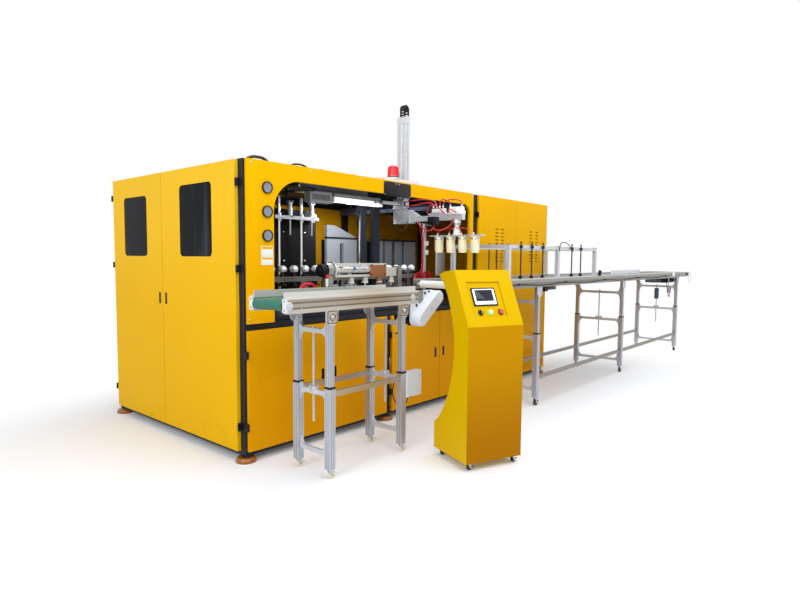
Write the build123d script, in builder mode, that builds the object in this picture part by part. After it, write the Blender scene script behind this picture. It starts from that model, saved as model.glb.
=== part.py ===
from build123d import *
import os
from math import atan2, cos, degrees, hypot, pi, radians, sin, tan

# Bottle blow moulding machine with two belt conveyors and an operator console.
# Millimetres. X runs along the front from left to right, Y into the machine, Z up.
# The origin is on the floor, under the front left corner of the frame.

os.makedirs("parts", exist_ok=True)

# Cabinet frame
cabinet_depth = 2150
cabinet_height = 2270
post = 65
tube_wall = 4
beam_height = 60
beam_width = 40
frame_bottom = 50
roof_rise = 20
frame_top = cabinet_height - roof_rise
centre_post_x = 1555
centre_post_width = 60
divider_x = 3005
side_bay_width = 1670
cabinet_right = divider_x + post + side_bay_width
sill_bottom = 1000
sill_top = sill_bottom + 50
bed_thickness = 30
bed_top = sill_top + bed_thickness
inner_post_y = 500
inner_post_depth = 60
inner_post_lefts = (1726, 1924)
inner_post_width = 84

# Folded sheet panels
panel_proud = 30
sheet = 2
seam = 5
skirt = 83
margin_width = 88
margin_setback = 5
front_left_edge = 18
side_wall_proud = 20

# Front fascia
fascia_bottom = sill_top + 2
fascia_right_edge = divider_x - 40
fascia_split = 1680
opening_left = 254
opening_right = fascia_right_edge - 62
header_height = 125
opening_top = cabinet_height - header_height
left_corner_radius = 250
right_corner_radius = 110
gauge_radius = 45
gauge_depth = 14
gauge_x = 191
gauge_rim = 6
gauge_drops = (73, 252, 432)

# Lower doors: left edge, right edge and hinge side
lower_door_top = sill_bottom
door_gap = 6
door_split_left = 812
door_split_right = 2368
door_stop_left = centre_post_x - 7
door_stop_right = centre_post_x + centre_post_width + 7
lower_doors = (
    (front_left_edge, door_split_left, "left"),
    (door_split_left + door_gap, door_stop_left, "right"),
    (door_stop_right, door_split_right, "left"),
    (door_split_right + door_gap, fascia_right_edge, "right"),
)
pull_height = 100
pull_width = 32
pull_depth = 12
pull_inset = 66
pull_centre = 572
pull_corner = 6

# End doors
end_door_front = 60
end_door_split = 1170
end_door_rear = cabinet_depth - 30
end_door_top = cabinet_height - 5
window_inset = 8
pane_thickness = 4
window_bottom = 1552
front_window = (375, 862, window_bottom, end_door_top - 135)
rear_window = (end_door_split + 270, end_door_rear - 230, window_bottom, end_door_top - 177)
window_corner = 40
end_pull_centre = 1190
hinge_width = 26
hinge_height = 56
door_clearance = 0.5
end_hinge_heights = (end_door_top - 165, 1465, 270)
lower_hinge_heights = (820, 270)

# Side cabinet front
side_door_left = divider_x + 80
side_door_width = 840
side_door_right = side_door_left + side_door_width
side_hinge_heights = (cabinet_height - 220, 1150, 400)
vent_width = 62
vent_height = 12
vent_pitch = 42
vent_rows = 10
vent_drop = 370
vent_top = cabinet_height - vent_drop
vent_offsets = (465, 590, 1295, 1455)
vent_columns = [divider_x + offset for offset in vent_offsets]

# Levelling feet
foot_radius = 77
foot_height = 36
foot_rim = 10
foot_stem = 16
foot_plate = 6
foot_plate_radius = 38
foot_xs = (25, centre_post_x + 30, divider_x + 30, cabinet_right - 40)
foot_ys = (32, cabinet_depth - 50)

# Roof plate and beacon
roof_plate_x = (1540, 2036)
roof_plate_depth = 290
roof_plate_height = 35
beacon_x = 1705
beacon_y = 48
beacon_radius = 58
beacon_foot = 22
beacon_height = 120

# Take-out arm
mast_x = (1880, 1940)
mast_y = (45, 155)
mast_drop = 140
mast_bottom = cabinet_height - mast_drop
mast_length = 730
mast_top = mast_bottom + mast_length
mast_cap = 70
mast_clearance = 8
mast_groove = 8
servo_half_width = 44
servo_y = (60, 190)
servo_height = 110
servo_bottom = mast_bottom - servo_height
side_cylinder_rise = 44
side_cylinder_length = 262
bracket_height = 130
bracket_bottom = servo_bottom - bracket_height
beam_reach = -630
arm_beam_size = 50
arm_beam_top = bracket_bottom + arm_beam_size + 15
swivel_y = -555
swivel_radius = 24
swivel_gap = 0.3
swivel_boss = 30
swivel_post = 108.7
gripper_y = (-840, -270)
gripper_plate_width = 84
gripper_plate_thickness = 10
gripper_plate_top = arm_beam_top - arm_beam_size - swivel_boss - swivel_gap - swivel_post
cup_pitch = 134.3
cup_first_y = -355
cup_radius = 40
cup_height = 150
cup_wall = 6
cup_taper = 5

# Drag chain
chain_pitch = 24
chain_width = 50
chain_height = 20
chain_cheek = 5
chain_bar = 3
chain_link_gap = 0.6
chain_bend = 31
chain_turn_links = 5
chain_rise_links = 3
chain_fall_links = 36

# Stretch platen and guide columns
column_radius = 15
column_xs = (700, 950)
column_y = 500
column_top = cabinet_height - 180
column_foot = 60
platen_drop = 185
platen_height = column_top - platen_drop
platen_thickness = 30
platen_depth = 60
bush_radius = 24
bush_stand = 20
running_gap = 0.3
stretch_rod_radius = 9
stretch_rod_length = 140

# Mould clamp
clamp_x = (420, 1180)
clamp_bottom = bed_top
clamp_top = column_top - 105
clamp_face_y = 780
mould_depth = 180
mould_margin = 60
platen_plate = 40
tie_bar_radius = 18
tie_inset = 60
clamp_travel = 120
cavity_x = (610, 990)
cavity_radius = 42
cavity_height = 240
cavity_bottom = (clamp_bottom + clamp_top - cavity_height) / 2

# Spindles
spindle_y = 400
spindle_first_x = 411
spindle_pitch = 125
spindle_count = 17
spindle_rail_rise = 302
spindle_rail_top = bed_top + spindle_rail_rise
spindle_rail_height = 44
spindle_rail_width = 70
spindle_rail_left = 330
rail_post_pitch = 490
rail_post_width = 60
spindle_radius = 41
spindle_disc = 27
spindle_stem = 12
spindle_height = 98

# Turn-over unit
turner_y = 100
turner_rise = 360
turner_z = bed_top + turner_rise
turner_motor_x = (836, 880)
turner_motor_radius = 55
turner_flange_x = (880, 945)
turner_flange_radius = 64
turner_bracket = 44
turner_disc_radius = 76
turner_disc = 14
turner_start = turner_flange_x[1] + 3
turner_shaft = 26
turner_bar_end = 1420
turner_top_bar = (34, 62)
turner_low_bar = (-62, -42)
turner_block = (1420, 1640)
turner_end = 1800
turner_beam = 40
turner_post = (1812, 1860)
turner_pin = 12
turner_grippers = (1198, 1379, 1570, 1740)
gripper_head_radius = 28
gripper_head = (-120, -72)
gripper_pin = 8
gripper_pin_low = -146

# Oven
oven_y = 1000
oven_panel_thickness = 38
oven_left_panels = ((1680, 1872), (1922, 2175))
oven_hood_drop = 374
oven_hood_top = cabinet_height - oven_hood_drop
oven_hood_height = 191
oven_left_top = oven_hood_top - oven_hood_height
oven_hood_flat = 120
oven_hood_end = 45
oven_right_panels = ((2450, 2560), (2600, 2720), (2765, 2900), (2945, 3160))
oven_right_drop = 520
oven_right_top = cabinet_height - oven_right_drop
oven_bar_height = 22

# Work lamp
lamp_x = (1160, 1810)
lamp_y = (285, 345)
lamp_drop = 210
lamp_bottom = cabinet_height - lamp_drop
lamp_height = 46
lamp_housing = 30
lamp_strap = 10
ballast_x = (880, 1140)

# Telescopic conveyor stands
outer_tube = 55
outer_wall = 5
slide_gap = 0.5
inner_tube = outer_tube - 2 * outer_wall - 2 * slide_gap
brace_thickness = 24
brace_web = 32
brace_flare = 62
brace_lip = 10
screw_radius = 8
nut_radius = 42
nut_height = 22
stringer_width = 28
stringer_height = 40
low_brace_height = 172
leg_bottom = 85

# First conveyor
first_stands = (220, 980)
first_legs = (-697, -353)
first_rail_drop = 578
first_rail_bottom = gripper_plate_top - first_rail_drop
first_inner_reach = 543
first_outer_top = first_rail_bottom - first_inner_reach
first_inner_overlap = 175
first_rail_x = (-165, 1155)
first_rail_y = (-725, -325)
first_rail_height = 105
first_rail_top = first_rail_bottom + first_rail_height
rail_thickness = 40
groove_depth = 4
groove_height = 12
guard_strip = 6
guard_strip_height = 34
first_brace_drop = 47
first_mid_brace = first_outer_top - first_brace_drop
first_high_drop = 150
first_high_brace = first_rail_bottom - first_high_drop
first_stringer = first_outer_top - 45
first_screw_drop = 218
first_cap_length = 12
first_cap_margin = 9
first_end_block = 60
first_belt_radius = 31
first_tail_x = -151
first_drive_x = 1085
first_roller_z = first_rail_top - 55
belt_thickness = 3
belt_gap = 0.3
belt_side_gap = 6
slider_thickness = 12
bed_setback = 60
shaft_radius = 10
ear_width = 108
ear_height = 106
ear_thickness = 6
guard_high = (1327, first_rail_bottom + 47)
guard_low = (1110, first_rail_bottom - 126)
guard_radius = 54
guard_depth = 86
guard_plate = 12
guard_rim = 8

# Control box on the first conveyor
control_box_length = 190
control_box_half = 30
control_box_height = 203

# Second conveyor
second_belt_start = 1930
second_belt_end = 8600
second_tail_length = 520
second_stands = (3050, 5500, second_belt_end - second_tail_length - 40)
second_legs = (-795, -165)
second_rail_drop = 504
second_rail_bottom = gripper_plate_top - second_rail_drop
second_inner_reach = 495
second_outer_top = second_rail_bottom - second_inner_reach
second_inner_overlap = 207
second_rail_x = (1860, second_belt_end - second_tail_length)
second_rail_y = (-830, -130)
second_rail_height = 93
second_rail_top = second_rail_bottom + second_rail_height
second_brace_drop = 45
second_mid_brace = second_outer_top - second_brace_drop
second_high_drop = 162
second_high_brace = second_rail_bottom - second_high_drop
second_low_rail = 300
second_screw_drop = 242
second_roller_z = second_rail_bottom + 45
second_idler_x = 1832
second_idler_radius = 35
second_idler_gap = 42
idler_ear = 60
second_belt_nose = 34
tail_plate_height = 74
tail_plate_drop = 8
guide_posts = (2420, 3470, 4490)
guide_post_size = 40
guide_setback = 25
guide_height = 335
guide_bar = 34
guide_bar_half = 12
front_rods = (2627, 2851, 3090, 3795, 4040)
rear_rods = (3139, 3300)
rod_radius = 7
rod_proud = 25
gear_box_lead = 900
gear_box_length = 480
gear_box_left = second_belt_end - gear_box_lead
gear_box_x = (gear_box_left, gear_box_left + gear_box_length)
gear_box_height = 92
gear_box_half = 90
gear_motor_inset = 100
gear_motor_length = 420
gear_motor_left = gear_box_left + gear_motor_inset
gear_motor_x = (gear_motor_left, gear_motor_left + gear_motor_length)
gear_motor_radius = 34
gear_motor_y = -700
cable_radius = 6
clip_shares = (0.027, 0.098, 0.2564, 0.4264, 0.6097, 0.8051)
clip_xs = [second_belt_start + (second_belt_end - second_belt_start) * share for share in clip_shares]
cable_sag = 26
cable_drop = 55

# Casters
caster_width = 22
caster_trail = 14
caster_gap = 1.2
caster_hub = 8
first_wheel_radius = 26
second_wheel_radius = 32
fork_wall = 3
fork_plate = 4

# Operator console
console_origin = (944, -1357)
console_turn = -21.9
console_width = 494
console_foot = 60
console_depth = 463
console_waist_depth = 291
console_waist_height = 415
console_neck_depth = 214
console_neck_height = 622
console_knee = 1058
console_top_depth = 202
console_top = 1468
console_caster_radius = 19
recess_x = (72, 372)
recess_s = (82, 360)
recess_depth = 12
screen_x = (103, 318)
screen_s = (168, 312)
screen_proud = 6
button_s = 117
selector_x = 144
start_x = 232
stop_x = 325
button_travel = 4
button_bore = 9


def bar(x, y, z):
    """A straight bar between pairs of limits."""
    with BuildPart() as piece:
        with Locations((x[0], y[0], z[0])):
            Box(x[1] - x[0], y[1] - y[0], z[1] - z[0], align=(Align.MIN, Align.MIN, Align.MIN))
    return piece.part


def hollow_bar(x, y, z):
    """A straight square or flat tube, open at both ends of its longest side."""
    limits = [list(x), list(y), list(z)]
    lengths = [high - low for low, high in limits]
    along = lengths.index(max(lengths))
    inner = []
    for axis, (low, high) in enumerate(limits):
        step = -1 if axis == along else tube_wall
        inner.append((low + step, high - step))
    with BuildPart() as tube:
        add(bar(x, y, z))
        add(bar(*inner), mode=Mode.SUBTRACT)
    return tube.part


def rod(start, direction, radius, length):
    """A round bar from start along direction."""
    with BuildPart() as piece:
        with BuildSketch(Plane(origin=start, z_dir=direction)):
            Circle(radius)
        extrude(amount=length)
    return piece.part


def solids_of(pieces):
    """Every solid of a list of pieces, in order."""
    found = []
    for piece in pieces:
        found.extend(piece.solids())
    return found


def write_group(label, pieces):
    """Write separate solids of one kind as one sub-part."""
    assembly = Compound(solids_of(pieces))
    assembly.label = label
    export_step(assembly, f"parts/{label}.step")


def write_piece(label, piece):
    """Write one piece as one sub-part."""
    piece.label = label
    export_step(piece, f"parts/{label}.step")


def pan(plane, width, height, depth):
    """A folded sheet tray whose face lies on plane and whose open side is behind it."""
    with BuildPart() as tray:
        with BuildSketch(plane):
            Rectangle(width, height, align=(Align.MIN, Align.MIN))
        extrude(amount=-depth)
        with BuildSketch(plane.offset(-sheet)):
            with Locations((sheet, sheet)):
                Rectangle(width - 2 * sheet, height - 2 * sheet, align=(Align.MIN, Align.MIN))
        extrude(amount=-depth, mode=Mode.SUBTRACT)
    return tray.part


def front_plane(x, z):
    """The plane of the proud front panels, with its corner at x, z."""
    return Plane(origin=(x, -panel_proud, z), x_dir=(1, 0, 0), z_dir=(0, -1, 0))


def margin_wedge(left, bottom, height, cut_from):
    """The sliver that folds a panel's left margin back from the front plane."""
    with BuildPart() as wedge:
        with BuildSketch(Plane.XY.offset(bottom)):
            with BuildLine():
                Polyline(
                    (left, cut_from),
                    (left + margin_width, cut_from),
                    (left, cut_from + margin_setback),
                    close=True,
                )
            make_face()
        extrude(amount=height)
    return wedge.part


def folded_front(left, right, bottom, top):
    """A front panel whose left margin folds back, as a tray open behind."""
    outside = -panel_proud
    inside = -panel_proud + sheet
    with BuildPart() as tray:
        with BuildSketch(Plane.XY.offset(bottom)):
            with BuildLine():
                Polyline(
                    (left, 0),
                    (left, outside + margin_setback),
                    (left + margin_width, outside),
                    (right, outside),
                    (right, 0),
                    close=True,
                )
            make_face()
        extrude(amount=top - bottom)
        with BuildSketch(Plane.XY.offset(bottom + sheet)):
            with BuildLine():
                Polyline(
                    (left + sheet, 0),
                    (left + sheet, inside + margin_setback),
                    (left + margin_width, inside),
                    (right - sheet, inside),
                    (right - sheet, 0),
                    close=True,
                )
            make_face()
        extrude(amount=top - bottom - 2 * sheet, mode=Mode.SUBTRACT)
    return tray.part


def gauge_at(height):
    """A round pressure gauge with a raised rim round its face."""
    with BuildPart() as gauge:
        with BuildSketch(front_plane(gauge_x, height)):
            Circle(gauge_radius)
        extrude(amount=gauge_depth)
        with BuildSketch(front_plane(gauge_x, height).offset(gauge_depth)):
            Circle(gauge_radius - gauge_rim)
        extrude(amount=-4, mode=Mode.SUBTRACT)
    return gauge.part


# Frame of square tubes, with the bed plate on its sill
post_xs = ((0, post), (divider_x, divider_x + post), (cabinet_right - post, cabinet_right))
rear_post_y = (cabinet_depth - post, cabinet_depth)
centre_post = (centre_post_x, centre_post_x + centre_post_width)
frame_pieces = []
for spot in post_xs:
    frame_pieces.append(hollow_bar(spot, (0, post), (frame_bottom, cabinet_height)))
    frame_pieces.append(hollow_bar(spot, rear_post_y, (frame_bottom, cabinet_height)))
    for low in (frame_bottom, cabinet_height - beam_height):
        frame_pieces.append(hollow_bar(spot, (post, rear_post_y[0]), (low, low + beam_height)))
frame_pieces.append(hollow_bar(centre_post, (0, beam_width), (frame_bottom + beam_height, sill_bottom)))
centre_level = (frame_bottom + beam_height, frame_top - beam_height)
frame_pieces.append(hollow_bar(centre_post, rear_post_y, centre_level))
for start, end in ((post_xs[0][1], post_xs[1][0]), (post_xs[1][1], post_xs[2][0])):
    for low in (frame_bottom, frame_top - beam_height):
        level = (low, low + beam_height)
        frame_pieces.append(hollow_bar((start, end), (0, beam_width), level))
        frame_pieces.append(hollow_bar((start, end), rear_post_y, level))
    frame_pieces.append(hollow_bar((start, end), (0, beam_width), (sill_bottom, sill_top)))
main_bay = (post, divider_x)
frame_pieces.append(bar(main_bay, (beam_width, rear_post_y[0]), (bed_top - bed_thickness, bed_top)))
side_bay = (divider_x + post, cabinet_right - post)
frame_pieces.append(bar(side_bay, (beam_width, rear_post_y[0]), (bed_top - bed_thickness, bed_top)))
for left in inner_post_lefts:
    depth = (inner_post_y, inner_post_y + inner_post_depth)
    inner_post = (left, left + inner_post_width)
    frame_pieces.append(hollow_bar(inner_post, depth, (bed_top, frame_top - beam_height)))
cross_rail = (inner_post_y, inner_post_y + inner_post_depth)
frame_pieces.append(hollow_bar(main_bay, cross_rail, (frame_top - beam_height, frame_top)))
guide_left = mast_x[0] - running_gap
guide_rear = mast_y[1] + running_gap
guide_level = (frame_top - beam_height, frame_top)
guide_block = 30
guide_plate = 20
guide_depth = (beam_width, guide_rear + guide_plate)
frame_pieces.append(bar((guide_left - guide_block, guide_left), guide_depth, guide_level))
frame_pieces.append(bar((guide_left, mast_x[1]), (guide_rear, guide_rear + guide_plate), guide_level))
write_group("machine_frame", frame_pieces)

# Fixed sheets: rear, right side, roof, and the right half of the side cabinet's front
sheets = []
wall_height = cabinet_height - skirt
rear_face = cabinet_depth + side_wall_proud
rear_splits = (0, centre_post_x, divider_x + post / 2, cabinet_right)
for start, end in zip(rear_splits[:-1], rear_splits[1:]):
    rear = Plane(origin=(end - seam / 2, rear_face, skirt), x_dir=(-1, 0, 0), z_dir=(0, 1, 0))
    sheets.append(pan(rear, end - start - seam, wall_height, side_wall_proud))
right = Plane(origin=(cabinet_right + side_wall_proud, 0, skirt), x_dir=(0, 1, 0), z_dir=(1, 0, 0))
sheets.append(pan(right, cabinet_depth, wall_height, side_wall_proud))
roof_cells = (
    (post, roof_plate_x[0], 0, cabinet_depth),
    (roof_plate_x[0], roof_plate_x[1], roof_plate_depth, cabinet_depth),
    (roof_plate_x[1], divider_x, 0, cabinet_depth),
    (divider_x + post, cabinet_right - post, 0, cabinet_depth),
)
for left, right_side, near, far in roof_cells:
    roof = Plane(origin=(left, near, cabinet_height))
    sheets.append(pan(roof, right_side - left, far - near, roof_rise))


def cut_vents(panel, columns):
    """Cut the columns of short level slots through a panel's face."""
    with BuildPart() as vented:
        add(panel)
        with BuildSketch(front_plane(0, 0)):
            for column in columns:
                for row in range(vent_rows):
                    with Locations((column, vent_top - row * vent_pitch)):
                        Rectangle(vent_width, vent_height)
        extrude(amount=-sheet, mode=Mode.SUBTRACT)
    return vented.part


side_fixed_left = side_door_right + seam
side_fixed = pan(
    front_plane(side_fixed_left, skirt),
    cabinet_right - side_fixed_left,
    wall_height,
    panel_proud,
)
sheets.append(cut_vents(side_fixed, vent_columns[2:]))
write_group("cabinet_panels", sheets)

# Fascia halves: a folded sheet round the loading opening, split under the name plate
roofline = cabinet_height
with BuildSketch() as left_outline:
    with BuildLine():
        Polyline(
            (front_left_edge, fascia_bottom),
            (opening_left, fascia_bottom),
            (opening_left, opening_top),
            (fascia_split - seam / 10, opening_top),
            (fascia_split - seam / 10, roofline),
            (front_left_edge, roofline),
            close=True,
        )
    make_face()
    inner_corner = left_outline.vertices().sort_by_distance((opening_left, opening_top, 0))[0]
    fillet(inner_corner, left_corner_radius)
with BuildPart() as fascia_left:
    with BuildSketch(front_plane(0, 0)):
        add(left_outline.sketch)
    extrude(amount=-panel_proud)
    with BuildSketch(front_plane(0, 0).offset(-sheet - margin_setback)):
        add(left_outline.sketch)
        offset(amount=-sheet)
    extrude(amount=-panel_proud, mode=Mode.SUBTRACT)
    add(margin_wedge(front_left_edge, fascia_bottom, roofline, -panel_proud), mode=Mode.SUBTRACT)
    with BuildSketch(front_plane(0, 0).offset(-sheet)):
        add(left_outline.sketch)
        offset(amount=-sheet)
        with Locations((front_left_edge + margin_width / 2, (fascia_bottom + roofline) / 2)):
            Rectangle(margin_width, 2 * roofline, mode=Mode.SUBTRACT)
    extrude(amount=-margin_setback, mode=Mode.SUBTRACT)
    with BuildSketch(Plane.XY.offset(fascia_bottom + sheet)):
        with BuildLine():
            Polyline(
                (front_left_edge + sheet, -panel_proud + sheet + margin_setback),
                (front_left_edge + margin_width, -panel_proud + sheet),
                (front_left_edge + margin_width, -panel_proud + sheet + margin_setback),
                close=True,
            )
        make_face()
    extrude(amount=roofline - fascia_bottom - 2 * sheet, mode=Mode.SUBTRACT)
write_piece("fascia_left", fascia_left.part)

with BuildSketch() as right_outline:
    with BuildLine():
        Polyline(
            (fascia_split + seam / 10, opening_top),
            (opening_right, opening_top),
            (opening_right, fascia_bottom),
            (fascia_right_edge, fascia_bottom),
            (fascia_right_edge, roofline),
            (fascia_split + seam / 10, roofline),
            close=True,
        )
    make_face()
    inner_corner = right_outline.vertices().sort_by_distance((opening_right, opening_top, 0))[0]
    fillet(inner_corner, right_corner_radius)
with BuildPart() as fascia_right:
    with BuildSketch(front_plane(0, 0)):
        add(right_outline.sketch)
    extrude(amount=-panel_proud)
    with BuildSketch(front_plane(0, 0).offset(-sheet)):
        add(right_outline.sketch)
        offset(amount=-sheet)
    extrude(amount=-panel_proud, mode=Mode.SUBTRACT)
write_piece("fascia_right", fascia_right.part)

write_group("pressure_gauges", [gauge_at(opening_top - drop) for drop in gauge_drops])

# Lower front doors, each a folded tray with a recess for its pull
for number, (left, right_side, hinge_side) in enumerate(lower_doors, start=1):
    pull_x = right_side - pull_inset if hinge_side == "left" else left + pull_inset
    with BuildPart() as lower_door:
        if number == 1:
            add(folded_front(left, right_side, skirt, lower_door_top))
        else:
            add(pan(front_plane(left, skirt), right_side - left, lower_door_top - skirt, panel_proud))
        with BuildSketch(front_plane(pull_x, pull_centre).offset(-sheet)):
            RectangleRounded(pull_width + 2 * sheet, pull_height + 2 * sheet, pull_corner + sheet)
        extrude(amount=-pull_depth)
        with BuildSketch(front_plane(pull_x, pull_centre)):
            RectangleRounded(pull_width, pull_height, pull_corner)
        extrude(amount=-pull_depth, mode=Mode.SUBTRACT)
    write_piece(f"lower_door_{number}", lower_door.part)


def end_plane(y, z):
    """The plane of the proud end doors, with its corner at y, z, seen from outside."""
    return Plane(origin=(-panel_proud, y, z), x_dir=(0, -1, 0), z_dir=(-1, 0, 0))


def end_door(near, far, window, pull_y):
    """An end door with a window opening and a pull recess."""
    with BuildPart() as door:
        add(pan(end_plane(far, skirt), far - near, end_door_top - skirt, panel_proud))
        centre = end_plane((window[0] + window[1]) / 2, (window[2] + window[3]) / 2)
        with BuildSketch(centre):
            RectangleRounded(window[1] - window[0], window[3] - window[2], window_corner)
        extrude(amount=-panel_proud, mode=Mode.SUBTRACT)
        with BuildSketch(end_plane(pull_y, end_pull_centre).offset(-sheet)):
            RectangleRounded(pull_width + 2 * sheet, pull_height + 2 * sheet, pull_corner + sheet)
        extrude(amount=-pull_depth)
        with BuildSketch(end_plane(pull_y, end_pull_centre)):
            RectangleRounded(pull_width, pull_height, pull_corner)
        extrude(amount=-pull_depth, mode=Mode.SUBTRACT)
    return door.part


def door_window(window):
    """A dark pane behind the window opening, lapped on the inside of the sheet."""
    centre = end_plane((window[0] + window[1]) / 2, (window[2] + window[3]) / 2)
    with BuildPart() as pane:
        with BuildSketch(centre.offset(-sheet)):
            RectangleRounded(
                window[1] - window[0] + 2 * window_inset,
                window[3] - window[2] + 2 * window_inset,
                window_corner + window_inset,
            )
        extrude(amount=-pane_thickness)
    return pane.part


pull_reach = pull_inset - 12
write_piece(
    "front_end_door",
    end_door(end_door_front, end_door_split - seam / 2, front_window, end_door_split - pull_reach),
)
write_piece("front_end_window", door_window(front_window))
write_piece(
    "rear_end_door",
    end_door(end_door_split + seam / 2, end_door_rear, rear_window, end_door_split + pull_reach),
)
write_piece("rear_end_window", door_window(rear_window))

# Side cabinet door
with BuildPart() as side_cabinet_door:
    add(folded_front(side_door_left, side_door_right, skirt, cabinet_height))
write_piece("side_cabinet_door", cut_vents(side_cabinet_door.part, vent_columns[:2]))

# Hinges: a block on the frame beside each door edge
hinges = []


def front_hinge(edge, toward, height):
    """A hinge on the front of a post, beside a door edge at x = edge."""
    near = edge + toward * door_clearance
    far = edge + toward * hinge_width
    span = (min(near, far), max(near, far))
    return bar(span, (-panel_proud, 0), (height - hinge_height / 2, height + hinge_height / 2))


def end_hinge(edge, toward, height):
    """A hinge on the left of a post, beside an end door edge at y = edge."""
    near = edge + toward * door_clearance
    far = edge + toward * hinge_width
    span = (min(near, far), max(near, far))
    return bar((-panel_proud, 0), span, (height - hinge_height / 2, height + hinge_height / 2))


for left, right_side, hinge_side in lower_doors:
    for height in lower_hinge_heights:
        if hinge_side == "left":
            hinges.append(front_hinge(left, -1, height))
        else:
            hinges.append(front_hinge(right_side, 1, height))
for height in end_hinge_heights:
    hinges.append(end_hinge(end_door_front, -1, height))
    hinges.append(end_hinge(end_door_rear, 1, height))
for height in side_hinge_heights:
    hinges.append(front_hinge(side_door_left, -1, height))
write_group("door_hinges", hinges)

# Levelling feet: a moulded pad with a stepped top and a steel stem
feet = []
foot_spots = [(x, y) for x in foot_xs for y in foot_ys]
for x, y in foot_spots:
    with BuildPart() as foot:
        with BuildSketch(Plane(origin=(x, y, 0), x_dir=(1, 0, 0), z_dir=(0, -1, 0))):
            with BuildLine():
                Polyline(
                    (0, 0),
                    (foot_radius, 0),
                    (foot_radius, foot_height * 0.55),
                    (foot_radius - foot_rim, foot_height),
                    (foot_stem, foot_height),
                    (foot_stem, frame_bottom - foot_plate),
                    (foot_plate_radius, frame_bottom - foot_plate),
                    (foot_plate_radius, frame_bottom),
                    (0, frame_bottom),
                    close=True,
                )
            make_face()
        revolve(axis=Axis((x, y, 0), (0, 0, 1)))
    feet.append(foot.part)
write_group("levelling_feet", feet)

# Roof plate with the slot that the mast and its chain run through, and the beacon on it
chain_centre_x = mast_x[1] + chain_height / 2 + 6
slot_x = (mast_x[0] - mast_clearance, chain_centre_x + chain_height / 2 + mast_clearance)
slot_y = (mast_y[0] - mast_clearance, mast_y[1] + mast_clearance)
plate_top = cabinet_height + roof_plate_height
roof_items = []
with BuildPart() as roof_plate:
    add(bar(roof_plate_x, (0, roof_plate_depth), (frame_top, plate_top)))
    add(bar(slot_x, slot_y, (frame_top - 1, plate_top + 1)), mode=Mode.SUBTRACT)
roof_items.append(roof_plate.part)
with BuildPart() as beacon:
    with BuildSketch(Plane(origin=(beacon_x, beacon_y, plate_top), x_dir=(1, 0, 0), z_dir=(0, -1, 0))):
        with BuildLine():
            Polyline(
                (0, beacon_foot),
                (beacon_radius - 4, beacon_foot),
                (beacon_radius - 10, beacon_height - 12),
                (beacon_radius - 22, beacon_height),
                (0, beacon_height),
                close=True,
            )
        make_face()
    revolve(axis=Axis((beacon_x, beacon_y, 0), (0, 0, 1)))
roof_items.append(rod((beacon_x, beacon_y, plate_top), (0, 0, 1), beacon_radius, beacon_foot))
roof_items.append(beacon.part)
write_group("roof_plate", roof_items)


def mast_section():
    """The mast: a grooved aluminium extrusion."""
    with BuildPart() as piece:
        add(bar(mast_x, mast_y, (mast_bottom, mast_top)))
        for y in (mast_y[0] + 28, mast_y[1] - 36):
            groove = bar((mast_x[0], mast_x[0] + 5), (y, y + mast_groove), (mast_bottom, mast_top))
            add(groove, mode=Mode.SUBTRACT)
        middle = (mast_x[0] + mast_x[1] - mast_groove) / 2
        groove_x = (middle, middle + mast_groove)
        add(bar(groove_x, (mast_y[0], mast_y[0] + 5), (mast_bottom, mast_top)), mode=Mode.SUBTRACT)
    return piece.part


with BuildPart() as mast_cover:
    cap_low = mast_top
    add(bar((mast_x[0] - 2, mast_x[1]), (mast_y[0] - 3, mast_y[1] + 3), (cap_low, cap_low + mast_cap)))
    top_edges = mast_cover.edges().group_by(Axis.Z)[-1].filter_by(Axis.Y)
    chamfer(top_edges.sort_by(Axis.X)[0], 14)
write_group("lift_mast", [mast_section(), mast_cover.part])

# Drag chain: open links over the top of the mast and down its right side
chain_mid_y = (mast_y[0] + mast_y[1]) / 2
chain_left_x = chain_centre_x - 2 * chain_bend
chain_start_z = mast_top + mast_cap
chain_bend_z = chain_start_z + chain_rise_links * chain_pitch
half_chain = chain_width / 2


def straight_link(x, low):
    """One open link: two cheeks joined by an outer and an inner bar."""
    length = chain_pitch - chain_link_gap
    left = x - chain_height / 2
    with BuildPart() as link:
        cheek_ys = (chain_mid_y - half_chain, chain_mid_y + half_chain - chain_cheek)
        for y in cheek_ys:
            add(bar((left, left + chain_height), (y, y + chain_cheek), (low, low + length)))
        for start in (left + 1, left + chain_height - chain_bar - 1):
            across = (chain_mid_y - half_chain, chain_mid_y + half_chain)
            add(bar((start, start + chain_bar), across, (low + length * 0.25, low + length * 0.75)))
    return link.part


def bend_link(index):
    """One wedge-shaped link of the turn over the top."""
    step = pi / chain_turn_links
    gap = chain_link_gap / (2 * chain_bend)
    start = pi - index * step - gap
    end = start - step + 2 * gap
    centre_x = chain_centre_x - chain_bend
    inner = chain_bend - chain_height / 2
    outer = (chain_bend + chain_height / 2) / cos(step / 2)
    corners = []
    for radius, angle in ((inner, start), (outer, start), (outer, end), (inner, end)):
        corners.append((centre_x + radius * cos(angle), chain_bend_z + radius * sin(angle)))
    with BuildPart() as link:
        side = Plane(origin=(0, chain_mid_y + half_chain, 0), x_dir=(1, 0, 0), z_dir=(0, -1, 0))
        with BuildSketch(side):
            with BuildLine():
                Polyline(*corners, close=True)
            make_face()
        extrude(amount=chain_width)
    return link.part


chain_links = []
for index in range(chain_rise_links):
    chain_links.append(straight_link(chain_left_x, chain_start_z + index * chain_pitch))
for index in range(chain_turn_links):
    chain_links.append(bend_link(index))
for index in range(chain_fall_links):
    chain_links.append(straight_link(chain_centre_x, chain_bend_z - (index + 1) * chain_pitch))
write_group("drag_chain", chain_links)

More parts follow.
